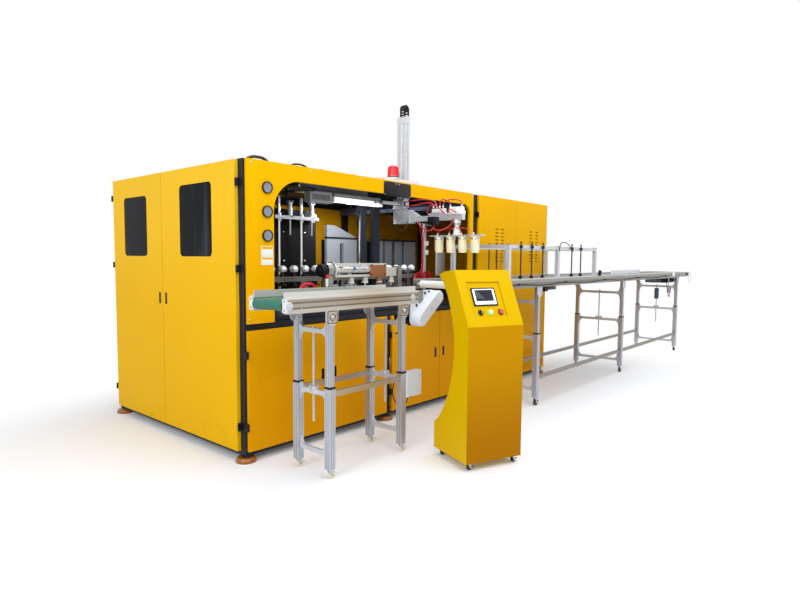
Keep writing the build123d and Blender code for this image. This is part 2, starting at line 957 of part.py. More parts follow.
# Servo block under the mast with its side cylinder
arm_x = (mast_x[0] + mast_x[1]) / 2
servo_x = (arm_x - servo_half_width, arm_x + servo_half_width)
side_cylinder_z = servo_bottom + side_cylinder_rise
side_cylinder_x = (servo_x[0] - side_cylinder_length, servo_x[0])
servo_pieces = [
    bar(servo_x, servo_y, (servo_bottom, mast_bottom)),
    bar(side_cylinder_x, (servo_y[0] + 30, servo_y[0] + 74), (side_cylinder_z, side_cylinder_z + 30)),
]
write_group("arm_servo", servo_pieces)

# Arm: drilled bracket plate, tapered gusset, beam and swivel post
gusset_start = -20
gusset_end = -120
half_beam = arm_beam_size / 2
arm_beam_bottom = arm_beam_top - arm_beam_size
with BuildPart() as arm_beam:
    add(bar((arm_x - 40, arm_x + 40), (gusset_start, servo_y[1]), (bracket_bottom, servo_bottom)))
    with BuildSketch(Plane(origin=(arm_x - 40, 0, 0), x_dir=(0, 1, 0), z_dir=(1, 0, 0))):
        with Locations(((servo_y[1] + gusset_start) / 2, (bracket_bottom + servo_bottom) / 2)):
            with GridLocations(55, 38, 3, 3):
                Circle(8)
    extrude(amount=12, mode=Mode.SUBTRACT)
    with BuildSketch(Plane(origin=(0, gusset_start, 0), x_dir=(1, 0, 0), z_dir=(0, -1, 0))):
        with Locations((arm_x, (bracket_bottom + servo_bottom) / 2)):
            Rectangle(70, servo_bottom - bracket_bottom - 8)
    with BuildSketch(Plane(origin=(0, gusset_end, 0), x_dir=(1, 0, 0), z_dir=(0, -1, 0))):
        with Locations((arm_x, arm_beam_top - half_beam)):
            Rectangle(arm_beam_size, arm_beam_size)
    loft()
    beam_span = (beam_reach, gusset_end)
    add(bar((arm_x - half_beam, arm_x + half_beam), beam_span, (arm_beam_bottom, arm_beam_top)))
    with BuildSketch(Plane.XY.offset(arm_beam_bottom - swivel_boss)):
        with Locations((arm_x, swivel_y)):
            Circle(swivel_radius + 12)
    extrude(amount=swivel_boss)
write_piece("arm_beam", arm_beam.part)

# Gripper plate on its swivel post
post_top = arm_beam_bottom - swivel_boss - swivel_gap
with BuildPart() as gripper_plate:
    plate_x = (arm_x - gripper_plate_width / 2, arm_x + gripper_plate_width / 2)
    plate_z = (gripper_plate_top - gripper_plate_thickness, gripper_plate_top)
    add(bar(plate_x, gripper_y, plate_z))
    with BuildSketch(Plane.XY.offset(gripper_plate_top)):
        with Locations((arm_x, swivel_y)):
            Circle(swivel_radius)
    extrude(amount=post_top - gripper_plate_top)
write_piece("gripper_plate", gripper_plate.part)

# Gripper cups: moulded sleeves, open below
cups = []
cup_top = gripper_plate_top - gripper_plate_thickness
for index in range(4):
    y = cup_first_y - index * cup_pitch
    with BuildPart() as cup:
        with BuildSketch(Plane(origin=(arm_x, y, cup_top), x_dir=(1, 0, 0), z_dir=(0, -1, 0))):
            with BuildLine():
                Polyline(
                    (0, 0),
                    (cup_radius, 0),
                    (cup_radius, -cup_height * 0.8),
                    (cup_radius - cup_taper, -cup_height),
                    (cup_radius - cup_taper - cup_wall, -cup_height),
                    (cup_radius - cup_taper - cup_wall, -cup_height / 6),
                    (0, -cup_height / 6),
                    close=True,
                )
            make_face()
        revolve(axis=Axis((arm_x, y, 0), (0, 0, 1)))
    cups.append(cup.part)
write_group("gripper_cups", cups)

# Two chrome guide columns with their foot blocks, and the platen that slides on them
columns = []
column_low = bed_top + column_foot
for x in column_xs:
    columns.append(rod((x, column_y, column_low), (0, 0, 1), column_radius, column_top - column_low))
    columns.append(bar((x - 40, x + 40), (column_y - 30, column_y + 30), (bed_top, column_low)))
write_group("guide_columns", columns)

platen_low = platen_height - platen_thickness / 2
with BuildPart() as stretch_platen:
    platen_x = (column_xs[0] - 60, column_xs[1] + 190)
    platen_y = (column_y - platen_depth / 2, column_y + platen_depth / 2)
    add(bar(platen_x, platen_y, (platen_low, platen_low + platen_thickness)))
    with BuildSketch(Plane.XY.offset(platen_low - bush_stand)):
        for x in column_xs:
            with Locations((x, column_y)):
                Circle(bush_radius)
    extrude(amount=platen_thickness + 2 * bush_stand)
    with BuildSketch(Plane.XY.offset(platen_low - bush_stand - 1)):
        for x in column_xs:
            with Locations((x, column_y)):
                Circle(column_radius + running_gap)
    extrude(amount=platen_thickness + 2 * bush_stand + 2, mode=Mode.SUBTRACT)
    with BuildSketch(Plane.XY.offset(platen_low)):
        for x in ((column_xs[0] + column_xs[1]) / 2, column_xs[1] + 125):
            with Locations((x, column_y)):
                Circle(stretch_rod_radius)
    extrude(amount=-stretch_rod_length)
write_piece("stretch_platen", stretch_platen.part)

# Mould clamp: each half is a platen with a mould block that has half of each bottle cavity
cavity_spots = [cavity_x[0] + step * (cavity_x[1] - cavity_x[0]) / 2 for step in range(3)]
tie_spots = []
for x in (clamp_x[0] + 40, clamp_x[1] - 40):
    for z in (clamp_bottom + tie_inset, clamp_top - tie_inset):
        tie_spots.append((x, z))


def bottle_core(x):
    """The solid form of one bottle, which both mould halves are cut by."""
    with BuildPart() as core:
        with BuildSketch(Plane(origin=(x, clamp_face_y, cavity_bottom), x_dir=(1, 0, 0), z_dir=(0, -1, 0))):
            with BuildLine():
                Polyline(
                    (0, -60),
                    (14, -60),
                    (14, 0),
                    (cavity_radius, 50),
                    (cavity_radius, cavity_height - 10),
                    (cavity_radius - 10, cavity_height),
                    (0, cavity_height),
                    close=True,
                )
            make_face()
        revolve(axis=Axis((x, clamp_face_y, 0), (0, 0, 1)))
    return core.part


def clamp_half(direction):
    """One platen and mould block, behind or before the parting face."""
    face = clamp_face_y + direction * running_gap / 2
    block_end = face + direction * mould_depth
    plate_end = block_end + direction * platen_plate
    block_y = (min(face, block_end), max(face, block_end))
    plate_y = (min(block_end, plate_end), max(block_end, plate_end))
    with BuildPart() as half:
        add(bar(clamp_x, plate_y, (clamp_bottom, clamp_top)))
        mould_x = (cavity_x[0] - 70, cavity_x[1] + 70)
        mould_level = (cavity_bottom - mould_margin, cavity_bottom + cavity_height + mould_margin)
        add(bar(mould_x, block_y, mould_level))
        for x in cavity_spots:
            add(bottle_core(x), mode=Mode.SUBTRACT)
    return half.part


front_half = clamp_half(-1)
back_half = clamp_half(1)
ties = []
tie_start = clamp_face_y - mould_depth
tie_end = clamp_face_y + mould_depth + platen_plate + clamp_travel + 60
for x, z in tie_spots:
    ties.append(rod((x, tie_start - running_gap / 2, z), (0, 1, 0), tie_bar_radius, tie_end - tie_start))
with BuildPart() as rear_half:
    add(back_half)
    for x, z in tie_spots:
        bore = rod((x, tie_start, z), (0, 1, 0), tie_bar_radius + running_gap, tie_end - tie_start)
        add(bore, mode=Mode.SUBTRACT)
write_group("clamp_fixed", [front_half] + ties)
write_piece("clamp_moving", rear_half.part)

# Spindle rail on its brackets, and the row of turned spindles
rail_end = spindle_first_x + (spindle_count - 1) * spindle_pitch + 60
rail_low = spindle_rail_top - spindle_rail_height
half_rail = spindle_rail_width / 2
rail_side = (spindle_y - half_rail, spindle_y + half_rail)
rail_pieces = [bar((spindle_rail_left, rail_end), rail_side, (rail_low, spindle_rail_top))]
rail_post_count = int((rail_end - spindle_rail_left - rail_post_width) / rail_post_pitch) + 1
for index in range(rail_post_count):
    x = spindle_rail_left + 30 + index * rail_post_pitch
    rail_pieces.append(bar((x, x + rail_post_width), (spindle_y - 20, spindle_y + 20), (bed_top, rail_low)))
write_group("spindle_rail", rail_pieces)

spindles = []
for index in range(spindle_count):
    x = spindle_first_x + index * spindle_pitch
    with BuildPart() as spindle:
        with BuildSketch(Plane(origin=(x, spindle_y, spindle_rail_top), x_dir=(1, 0, 0), z_dir=(0, -1, 0))):
            with BuildLine():
                Polyline(
                    (0, 0),
                    (spindle_disc, 0),
                    (spindle_disc, 18),
                    (spindle_stem, 18),
                    (spindle_stem, 34),
                    (spindle_radius - 8, 44),
                    (spindle_radius, 66),
                    (spindle_radius - 10, spindle_height - 10),
                    (spindle_stem, spindle_height),
                    (0, spindle_height),
                    close=True,
                )
            make_face()
        revolve(axis=Axis((x, spindle_y, 0), (0, 0, 1)))
    spindles.append(spindle.part)
write_group("spindles", spindles)

# Oven: reflector panels on the bed, a hood over the left group and a bar over the right
oven = []
panel_y = (oven_y - oven_panel_thickness, oven_y)
for span in oven_left_panels:
    oven.append(bar(span, panel_y, (bed_top, oven_left_top)))
for span in oven_right_panels:
    oven.append(bar(span, panel_y, (bed_top, oven_right_top)))
bar_span = (oven_right_panels[0][0] - 30, oven_right_panels[-1][1])
oven_bar_side = (panel_y[0] - 20, panel_y[1] + 60)
oven.append(bar(bar_span, oven_bar_side, (oven_right_top, oven_right_top + oven_bar_height)))
with BuildPart() as hood:
    hood_left = oven_left_panels[0][0]
    hood_right = oven_left_panels[-1][1]
    with BuildSketch(Plane(origin=(0, oven_y, 0), x_dir=(1, 0, 0), z_dir=(0, -1, 0))):
        with BuildLine():
            Polyline(
                (hood_left, oven_left_top),
                (hood_right, oven_left_top),
                (hood_right, oven_left_top + oven_hood_end),
                (hood_left + oven_hood_flat, oven_hood_top),
                (hood_left, oven_hood_top),
                close=True,
            )
        make_face()
    extrude(amount=oven_panel_thickness)
oven.append(hood.part)
write_group("oven_housing", oven)

# Work lamp under the cross rail, with its ballast box
lamp_top = lamp_bottom + lamp_height
lamp_pieces = [bar(lamp_x, lamp_y, (lamp_bottom, lamp_top))]
housing_top = lamp_top + lamp_housing
housing_x = (lamp_x[0] + 10, lamp_x[1] - 10)
housing_y = (lamp_y[0] + 5, lamp_y[1] - 5)
lamp_pieces.append(bar(housing_x, housing_y, (lamp_top, housing_top)))
lamp_pieces.append(bar(ballast_x, (lamp_y[0], lamp_y[1] + 20), (lamp_bottom - 20, housing_top)))
strap_x = (ballast_x[0], lamp_x[1])
strap_y = (inner_post_y - lamp_strap, inner_post_y)
lamp_pieces.append(bar(strap_x, (lamp_y[1] - 25, strap_y[0]), (housing_top, housing_top + lamp_strap)))
lamp_pieces.append(bar(strap_x, strap_y, (housing_top, frame_top - 10)))
write_group("work_lamp", lamp_pieces)

# Turn-over unit: drive, end bearing, and the open frame with its grippers
motor_length = turner_motor_x[1] - turner_motor_x[0]
flange_length = turner_flange_x[1] - turner_flange_x[0]
drive = [
    rod((turner_motor_x[0], turner_y, turner_z), (1, 0, 0), turner_motor_radius, motor_length),
]
with BuildPart() as drive_bracket:
    add(rod((turner_flange_x[0], turner_y, turner_z), (1, 0, 0), turner_flange_radius, flange_length))
    bracket_side = (turner_y - turner_bracket, turner_y + turner_bracket)
    add(bar((turner_flange_x[0] + 10, turner_flange_x[1] - 10), bracket_side, (bed_top, turner_z)))
drive.append(drive_bracket.part)
with BuildPart() as end_bearing:
    add(bar(turner_post, (turner_y - 35, turner_y + 35), (bed_top, turner_z + 35)))
    with BuildSketch(Plane(origin=(turner_post[0], turner_y, turner_z), z_dir=(1, 0, 0))):
        Circle(turner_pin + running_gap)
    extrude(amount=turner_post[1] - turner_post[0], mode=Mode.SUBTRACT)
drive.append(end_bearing.part)
write_group("transfer_drive", drive)

half_turner = turner_beam / 2
disc_end = turner_start + turner_disc
with BuildPart() as transfer_beam:
    add(rod((turner_start, turner_y, turner_z), (1, 0, 0), turner_disc_radius, turner_disc))
    add(rod((disc_end, turner_y, turner_z), (1, 0, 0), turner_shaft, turner_block[0] - disc_end))
    beam_y = (turner_y - half_turner, turner_y + half_turner)
    for low, high in (turner_top_bar, turner_low_bar):
        add(bar((disc_end, turner_bar_end), beam_y, (turner_z + low, turner_z + high)))
    block_level = (turner_z + turner_low_bar[0], turner_z + turner_top_bar[1])
    add(bar(turner_block, (turner_y - half_turner - 8, turner_y + half_turner + 8), block_level))
    add(bar((turner_block[1], turner_end), beam_y, (turner_z + turner_low_bar[0], turner_z + half_turner)))
    add(rod((turner_end, turner_y, turner_z), (1, 0, 0), turner_pin, turner_post[1] - turner_end - 6))
    for x in turner_grippers:
        head_level = turner_z + gripper_head[0]
        head_length = gripper_head[1] - gripper_head[0]
        add(rod((x, turner_y, head_level), (0, 0, 1), gripper_head_radius, head_length))
        pin_low = turner_z + gripper_pin_low
        add(rod((x, turner_y, pin_low), (0, 0, 1), gripper_pin, turner_low_bar[1] - gripper_pin_low))
write_piece("transfer_beam", transfer_beam.part)


def square_tube(x, y, low, high):
    """A square outer stand tube, open at both ends."""
    half = outer_tube / 2
    with BuildPart() as tube:
        add(bar((x - half, x + half), (y - half, y + half), (low, high)))
        hollow = half - outer_wall
        bore = bar((x - hollow, x + hollow), (y - hollow, y + hollow), (low + 8, high + 1))
        add(bore, mode=Mode.SUBTRACT)
    return tube.part


def cast_brace(x, near, far, height, rise, fall, hole):
    """A cast cross brace whose ends flare into the tubes with big fillets."""
    span = far - near
    middle = (near + far) / 2
    with BuildPart() as brace:
        near_face = Plane(origin=(x - brace_thickness / 2, middle, height), x_dir=(0, 1, 0), z_dir=(1, 0, 0))
        with BuildSketch(near_face):
            Rectangle(span, brace_web)
            for side, reach in ((1, rise), (-1, fall)):
                if reach > 0:
                    with Locations((0, side * (brace_web + reach) / 2)):
                        Rectangle(span, reach)
                    with Locations((0, side * (brace_web / 2 + reach))):
                        RectangleRounded(span - 2 * brace_lip, 2 * reach, reach * 0.8, mode=Mode.SUBTRACT)
        extrude(amount=brace_thickness)
        if hole > 0:
            with BuildSketch(Plane.XY.offset(height - brace_web)):
                with Locations((x, middle)):
                    Circle(hole)
            extrude(amount=2 * brace_web, mode=Mode.SUBTRACT)
    return brace.part


def hand_nut(x, y, low):
    """A lobed hand nut with a clear bore for the height screw."""
    with BuildPart() as nut:
        with BuildSketch(Plane(origin=(x, y, low))):
            Circle(nut_radius * 0.55)
            with PolarLocations(nut_radius * 0.72, 4):
                Rectangle(nut_radius * 0.56, nut_radius * 0.4)
            Circle(screw_radius + running_gap, mode=Mode.SUBTRACT)
        extrude(amount=nut_height)
    return nut.part


def caster(x, y, top, wheel_radius):
    """The fork and the wheel of one swivel caster, whose plate meets the leg at top."""
    half_wheel = caster_width / 2
    axle_x = x + caster_trail
    cheek = half_wheel + caster_gap
    fork_top = top - fork_plate
    with BuildPart() as fork:
        add(bar((x - 22, x + 22), (y - 22, y + 22), (fork_top, top)))
        for start in (y - cheek - fork_wall, y + cheek):
            side = Plane(origin=(0, start + fork_wall, 0), x_dir=(1, 0, 0), z_dir=(0, -1, 0))
            with BuildSketch(side):
                with BuildLine():
                    Polyline(
                        (x - 16, fork_top),
                        (x + 20, fork_top),
                        (axle_x + caster_hub, wheel_radius - caster_hub),
                        (axle_x - caster_hub, wheel_radius - caster_hub),
                        close=True,
                    )
                make_face()
            extrude(amount=fork_wall)
    with BuildPart() as wheel:
        add(rod((axle_x, y - half_wheel, wheel_radius), (0, 1, 0), wheel_radius, caster_width))
        add(rod((axle_x, y - cheek, wheel_radius), (0, 1, 0), caster_hub, 2 * cheek))
    return fork.part, wheel.part


# Stands of both conveyors
outer_half = outer_tube / 2
inner_half = inner_tube / 2
stand_tubes = []
stand_braces = []
forks = []
wheels = []


def fixed_stand(x, legs, outer_top, mid_height, wheel_radius):
    """The floor half of one stand: outer tubes, braces, hand nut and casters."""
    leg_low = leg_bottom + 3 * (wheel_radius - second_wheel_radius)
    for y in legs:
        stand_tubes.append(square_tube(x, y, leg_low, outer_top))
        fork, wheel = caster(x, y, leg_low, wheel_radius)
        forks.append(fork)
        wheels.append(wheel)
    near = legs[0] + outer_half
    far = legs[1] - outer_half
    flare = outer_top - mid_height - brace_web / 2
    hole = screw_radius + 2
    stand_braces.append(cast_brace(x, near, far, mid_height, flare, brace_flare, hole))
    stand_braces.append(cast_brace(x, near, far, low_brace_height, brace_flare, 0, 0))
    stand_braces.append(hand_nut(x, (legs[0] + legs[1]) / 2, mid_height + brace_web / 2))


def sliding_stand(x, legs, level, brace_height, screw_bottom):
    """The deck half of one stand: inner tubes, and the upper brace with its screw."""
    middle = (legs[0] + legs[1]) / 2
    tubes = []
    for y in legs:
        tubes.append(bar((x - inner_half, x + inner_half), (y - inner_half, y + inner_half), level))
    near = legs[0] + inner_half
    far = legs[1] - inner_half
    brace = cast_brace(x, near, far, brace_height, brace_flare, brace_flare, 0)
    screw_top = brace_height - brace_web / 2
    screw = rod((x, middle, screw_bottom), (0, 0, 1), screw_radius, screw_top - screw_bottom)
    knob = rod((x, middle, brace_height + brace_web / 2), (0, 0, 1), 11, 14)
    return tubes, [brace, screw, knob]


for x in first_stands:
    fixed_stand(x, first_legs, first_outer_top, first_mid_brace, first_wheel_radius)
for x in second_stands:
    fixed_stand(x, second_legs, second_outer_top, second_mid_brace, second_wheel_radius)

# Lengthwise rails between the stands
half_stringer = stringer_width / 2
for y in first_legs:
    span = (first_stands[0] + outer_half, first_stands[1] - outer_half)
    level = (first_stringer - stringer_height / 2, first_stringer + stringer_height / 2)
    stand_tubes.append(bar(span, (y - half_stringer, y + half_stringer), level))
for y in second_legs:
    level = (second_low_rail - stringer_height / 2, second_low_rail + stringer_height / 2)
    for start, end in zip(second_stands[:-1], second_stands[1:]):
        span = (start + outer_half, end - outer_half)
        stand_tubes.append(bar(span, (y - half_stringer, y + half_stringer), level))
write_group("stand_tubes", stand_tubes)
write_group("stand_braces", stand_braces)

# Console casters
console_angle = radians(console_turn)
across = Vector(cos(console_angle), sin(console_angle), 0)
inward = Vector(-sin(console_angle), cos(console_angle), 0)
console_corner = Vector(console_origin[0], console_origin[1], 0)
console_inset = 45
console_steps = (console_inset, console_width - console_inset)
console_backs = (console_inset, console_depth - console_inset)
console_spots = [(right_step, back_step) for back_step in console_backs for right_step in console_steps]
for right_step, back_step in console_spots:
    spot = console_corner + across * right_step + inward * back_step
    fork, wheel = caster(spot.X, spot.Y, console_foot, console_caster_radius)
    forks.append(fork)
    wheels.append(wheel)
write_group("caster_forks", forks)
write_group("caster_wheels", wheels)

# Control box on the right stand of the first conveyor
box_left = first_stands[1] + outer_half
with BuildPart() as control_box:
    box_side = (first_legs[0] - control_box_half, first_legs[0] + control_box_half)
    box_top = first_outer_top - 5
    add(bar((box_left, box_left + control_box_length), box_side, (box_top - control_box_height, box_top)))
    fillet(control_box.edges().filter_by(Axis.Z), 6)
write_piece("control_box", control_box.part)


def grooved_rail(x, y, z, outer_side):
    """A deck side rail with two grooves along its outer face."""
    with BuildPart() as rail:
        add(bar(x, y, z))
        height = z[1] - z[0]
        face = y[0] if outer_side < 0 else y[1] - groove_depth
        for share in (0.32, 0.66):
            low = z[0] + height * share - groove_height / 2
            add(bar(x, (face, face + groove_depth), (low, low + groove_height)), mode=Mode.SUBTRACT)
    return rail.part


def belt_loop(start, end, height, inner_radius, side):
    """A closed belt round two ends of equal radius."""
    plane = Plane(origin=((start + end) / 2, side[1], height), x_dir=(1, 0, 0), z_dir=(0, -1, 0))
    with BuildPart() as belt:
        with BuildSketch(plane):
            SlotCenterToCenter(end - start, 2 * (inner_radius + belt_thickness))
            SlotCenterToCenter(end - start, 2 * inner_radius, mode=Mode.SUBTRACT)
        extrude(amount=side[1] - side[0])
    return belt.part


def roller(x, height, radius, side, shaft_reach):
    """A roller with a shaft that stands out at both ends."""
    with BuildPart() as drum:
        add(rod((x, side[0], height), (0, 1, 0), radius, side[1] - side[0]))
        shaft_length = side[1] - side[0] + 2 * shaft_reach
        add(rod((x, side[0] - shaft_reach, height), (0, 1, 0), shaft_radius, shaft_length))
    return drum.part


def bored(piece, x, height, side):
    """Bore a piece for a roller's shaft, right across the deck."""
    with BuildPart() as result:
        add(piece)
        bore = rod((x, side[0] - 60, height), (0, 1, 0), shaft_radius + running_gap, side[1] - side[0] + 120)
        add(bore, mode=Mode.SUBTRACT)
    return result.part


def leg_ear(x, face, direction, top):
    """A cast ear with a round foot that bolts a leg to its rail."""
    with BuildPart() as ear:
        low_centre = top - ear_height + ear_width / 2
        start = face if direction < 0 else face + ear_thickness
        with BuildSketch(Plane(origin=(x, start, low_centre), x_dir=(1, 0, 0), z_dir=(0, -1, 0))):
            Circle(ear_width / 2)
            with Locations((0, (top - low_centre) / 2)):
                Rectangle(ear_width, top - low_centre)
            with Locations((0, top - low_centre + ear_width / 2)):
                Rectangle(ear_width, ear_width, mode=Mode.SUBTRACT)
        extrude(amount=ear_thickness)
    return ear.part


# First conveyor deck
first_tubes = []
first_casts = []
for x in first_stands:
    inner_low = first_outer_top - first_inner_overlap
    screw_low = first_mid_brace - first_screw_drop
    levels = (inner_low, first_rail_bottom)
    tubes, casts = sliding_stand(x, first_legs, levels, first_high_brace, screw_low)
    first_tubes.extend(tubes)
    first_casts.extend(casts)
    first_casts.append(leg_ear(x, first_legs[0] - inner_half, -1, first_rail_bottom))
    first_casts.append(leg_ear(x, first_legs[1] + inner_half, 1, first_rail_bottom))
write_group("deck_1_legs", first_tubes)
write_group("deck_1_braces", first_casts)

rail_level = (first_rail_bottom, first_rail_top)
inner_side = (first_rail_y[0] + rail_thickness, first_rail_y[1] - rail_thickness)
front_side = (first_rail_y[0], inner_side[0])
back_side = (inner_side[1], first_rail_y[1])
cap_x = (first_rail_x[0] - first_cap_length, first_rail_x[0])
cap_level = (first_rail_bottom + first_cap_margin, first_rail_top - first_cap_margin)
block_x = (first_rail_x[1], first_rail_x[1] + first_end_block)
first_roller_radius = first_belt_radius - belt_gap
slider_top = first_roller_z + first_roller_radius
bed_span = (first_tail_x + bed_setback, first_drive_x - bed_setback)
strip_level = (first_rail_top, first_rail_top + guard_strip_height)
first_rails = []
for side, outer in ((front_side, -1), (back_side, 1)):
    rail = grooved_rail(first_rail_x, side, rail_level, outer)
    for roller_x in (first_drive_x, first_tail_x):
        rail = bored(rail, roller_x, first_roller_z, inner_side)
    first_rails.append(rail)
    first_rails.append(bar(cap_x, side, cap_level))
    first_rails.append(bar(block_x, side, rail_level))
first_rails.append(bar(first_rail_x, (inner_side[0] - guard_strip, inner_side[0]), strip_level))
first_rails.append(bar(first_rail_x, (inner_side[1], inner_side[1] + guard_strip), strip_level))
first_rails.append(bar(bed_span, inner_side, (slider_top - slider_thickness, slider_top)))
write_group("deck_1_rails", first_rails)

belt_side = (inner_side[0] + belt_side_gap, inner_side[1] - belt_side_gap)
first_belt = belt_loop(first_tail_x, first_drive_x, first_roller_z, first_belt_radius, belt_side)
write_piece("deck_1_belt", first_belt)
shaft_reach = belt_side_gap + rail_thickness - 2
tail_roller = roller(first_tail_x, first_roller_z, first_roller_radius, belt_side, shaft_reach)
write_piece("tail_roller_1", tail_roller)
drive_roller = roller(first_drive_x, first_roller_z, first_roller_radius, belt_side, shaft_reach)
write_piece("drive_roller_1", drive_roller)

# Chain guard of the first conveyor's drive, on its flat back plate beyond the rail's end block
with BuildPart() as deck_1_guard:
    run = hypot(guard_high[0] - guard_low[0], guard_high[1] - guard_low[1])
    tilt = degrees(atan2(guard_high[1] - guard_low[1], guard_high[0] - guard_low[0]))
    middle_x = (guard_high[0] + guard_low[0]) / 2
    middle_z = (guard_high[1] + guard_low[1]) / 2
    guard_face = first_rail_y[0]
    guard_plane = Plane(origin=(middle_x, guard_face, middle_z), x_dir=(1, 0, 0), z_dir=(0, -1, 0))
    with BuildSketch(guard_plane):
        SlotCenterToCenter(run, 2 * guard_radius, rotation=tilt)
    extrude(amount=guard_depth)
    outer_rim = deck_1_guard.faces().sort_by(Axis.Y)[0].edges()
    chamfer(outer_rim, guard_rim)
    with BuildSketch(guard_plane):
        SlotCenterToCenter(run, 2 * guard_radius, rotation=tilt)
    extrude(amount=-guard_plate)
    plate_corner = (guard_low[0] - guard_radius, first_rail_bottom)
    with BuildSketch(Plane(origin=(0, guard_face + guard_plate, 0), x_dir=(1, 0, 0), z_dir=(0, -1, 0))):
        with BuildLine():
            Polyline(
                plate_corner,
                (plate_corner[0], guard_low[1]),
                guard_low,
                guard_high,
                (guard_high[0], first_rail_top),
                (block_x[1], first_rail_top),
                (block_x[1], first_rail_bottom),
                close=True,
            )
        make_face()
    extrude(amount=guard_plate)
    block_side = (guard_face, guard_face + guard_plate)
    add(bar((first_rail_x[0], block_x[1]), block_side, rail_level), mode=Mode.SUBTRACT)
write_piece("deck_1_guard", deck_1_guard.part)

# Second conveyor deck
second_tubes = []
second_casts = []
for x in second_stands:
    inner_low = second_outer_top - second_inner_overlap
    screw_low = second_mid_brace - second_screw_drop
    levels = (inner_low, second_rail_bottom)
    tubes, casts = sliding_stand(x, second_legs, levels, second_high_brace, screw_low)
    second_tubes.extend(tubes)
    second_casts.extend(casts)
    second_casts.append(leg_ear(x, second_legs[0] - inner_half, -1, second_rail_bottom))
    second_casts.append(leg_ear(x, second_legs[1] + inner_half, 1, second_rail_bottom))
write_group("deck_2_legs", second_tubes)
write_group("deck_2_braces", second_casts)

second_level = (second_rail_bottom, second_rail_top)
second_side = (second_rail_y[0] + rail_thickness, second_rail_y[1] - rail_thickness)
bed_high = second_roller_z + second_belt_nose - belt_gap
bed_low = bed_high - slider_thickness
tail_low = second_rail_bottom + tail_plate_drop
tail_end = second_belt_end + second_belt_nose + 6
second_rails = [bar((second_belt_start, second_belt_end - bed_setback), second_side, (bed_low, bed_high))]
for side, outer in (((second_rail_y[0], second_side[0]), -1), ((second_side[1], second_rail_y[1]), 1)):
    second_rails.append(grooved_rail(second_rail_x, side, second_level, outer))
    ear = bar((second_rail_x[0] - idler_ear, second_rail_x[0]), side, second_level)
    second_rails.append(bored(ear, second_idler_x, second_roller_z, second_side))
    tail_plate = bar((second_rail_x[1], tail_end), side, (tail_low, tail_low + tail_plate_height))
    second_rails.append(bored(tail_plate, second_belt_end, second_roller_z, second_side))
write_group("deck_2_rails", second_rails)

second_belt_side = (second_side[0] + belt_side_gap, second_side[1] - belt_side_gap)
second_belt = belt_loop(second_belt_start, second_belt_end, second_roller_z, second_belt_nose, second_belt_side)
write_piece("deck_2_belt", second_belt)
idler_side = (second_side[0] + second_idler_gap, second_side[1] - second_idler_gap)
idler_reach = second_idler_gap + rail_thickness - 2
idler = roller(second_idler_x, second_roller_z, second_idler_radius, idler_side, idler_reach)
write_piece("tail_roller_2", idler)
drive_radius = second_belt_nose - belt_gap
second_drive = roller(second_belt_end, second_roller_z, drive_radius, second_belt_side, shaft_reach)
write_piece("drive_roller_2", second_drive)

# Guide frame over the second conveyor
guides = []
half_guide = guide_post_size / 2
guide_top = second_rail_top + guide_height
guide_y = (second_rail_y[0] + guide_setback, second_rail_y[1] - guide_setback)
bar_level = (guide_top - guide_bar, guide_top)
for y in guide_y:
    for x in guide_posts:
        post_side = (y - half_guide, y + half_guide)
        guides.append(bar((x - half_guide, x + half_guide), post_side, (second_rail_top, guide_top)))
    for start, end in zip(guide_posts[:-1], guide_posts[1:]):
        span = (start + half_guide, end - half_guide)
        guides.append(bar(span, (y - guide_bar_half, y + guide_bar_half), bar_level))
for x in guide_posts:
    span = (guide_y[0] + half_guide, guide_y[1] - half_guide)
    guides.append(bar((x - guide_bar_half, x + guide_bar_half), span, bar_level))
rod_step = guide_bar_half + rod_radius
for y, xs in ((guide_y[0] - rod_step, front_rods), (guide_y[1] + rod_step, rear_rods)):
    for x in xs:
        rod_length = guide_height + rod_proud
        guides.append(rod((x, y, second_rail_top), (0, 0, 1), rod_radius, rod_length))
write_group("deck_2_guides", guides)

# Gearbox under the far end, with its motor on the front side
middle_y = (second_rail_y[0] + second_rail_y[1]) / 2
gear_box_y = (middle_y - gear_box_half, middle_y + gear_box_half)
gear_box_low = second_rail_bottom - gear_box_height
hanger = (gear_box_x[0] + 60, gear_box_x[0] + 100)
motor_length = gear_motor_x[1] - gear_motor_x[0]
motor_z = second_rail_bottom - gear_motor_radius
motor_pieces = [
    bar(gear_box_x, gear_box_y, (gear_box_low, second_rail_bottom - 20)),
    bar(hanger, second_rail_y, (second_rail_bottom - 20, second_rail_bottom)),
    rod((gear_motor_x[0], gear_motor_y, motor_z - 20), (1, 0, 0), gear_motor_radius, motor_length),
    bar(hanger, (gear_motor_y, gear_box_y[0]), (gear_box_low, second_rail_bottom - 20)),
]
write_group("deck_2_motor", motor_pieces)


def tangent_radii(points):
    """For each corner, 0.45 of the shorter run divided by the tangent of half the turn."""
    radii = []
    for before, corner, after in zip(points[:-2], points[1:-1], points[2:]):
        first = Vector(*corner) - Vector(*before)
        second = Vector(*after) - Vector(*corner)
        turn = radians(first.get_angle(second))
        radii.append(0.45 * min(first.length, second.length) / tan(turn / 2))
    return radii


def tube_along(label, points, radius):
    """A round tube along straight runs joined by tangent arcs."""
    radii = tangent_radii(points)
    print(label, "arc radii", [round(value, 1) for value in radii])
    with BuildPart() as tube:
        with BuildLine() as path:
            FilletPolyline(*points, radius=radii)
        with BuildSketch(Plane(origin=path.line @ 0, z_dir=path.line % 0)):
            Circle(radius)
        sweep()
    return tube.part


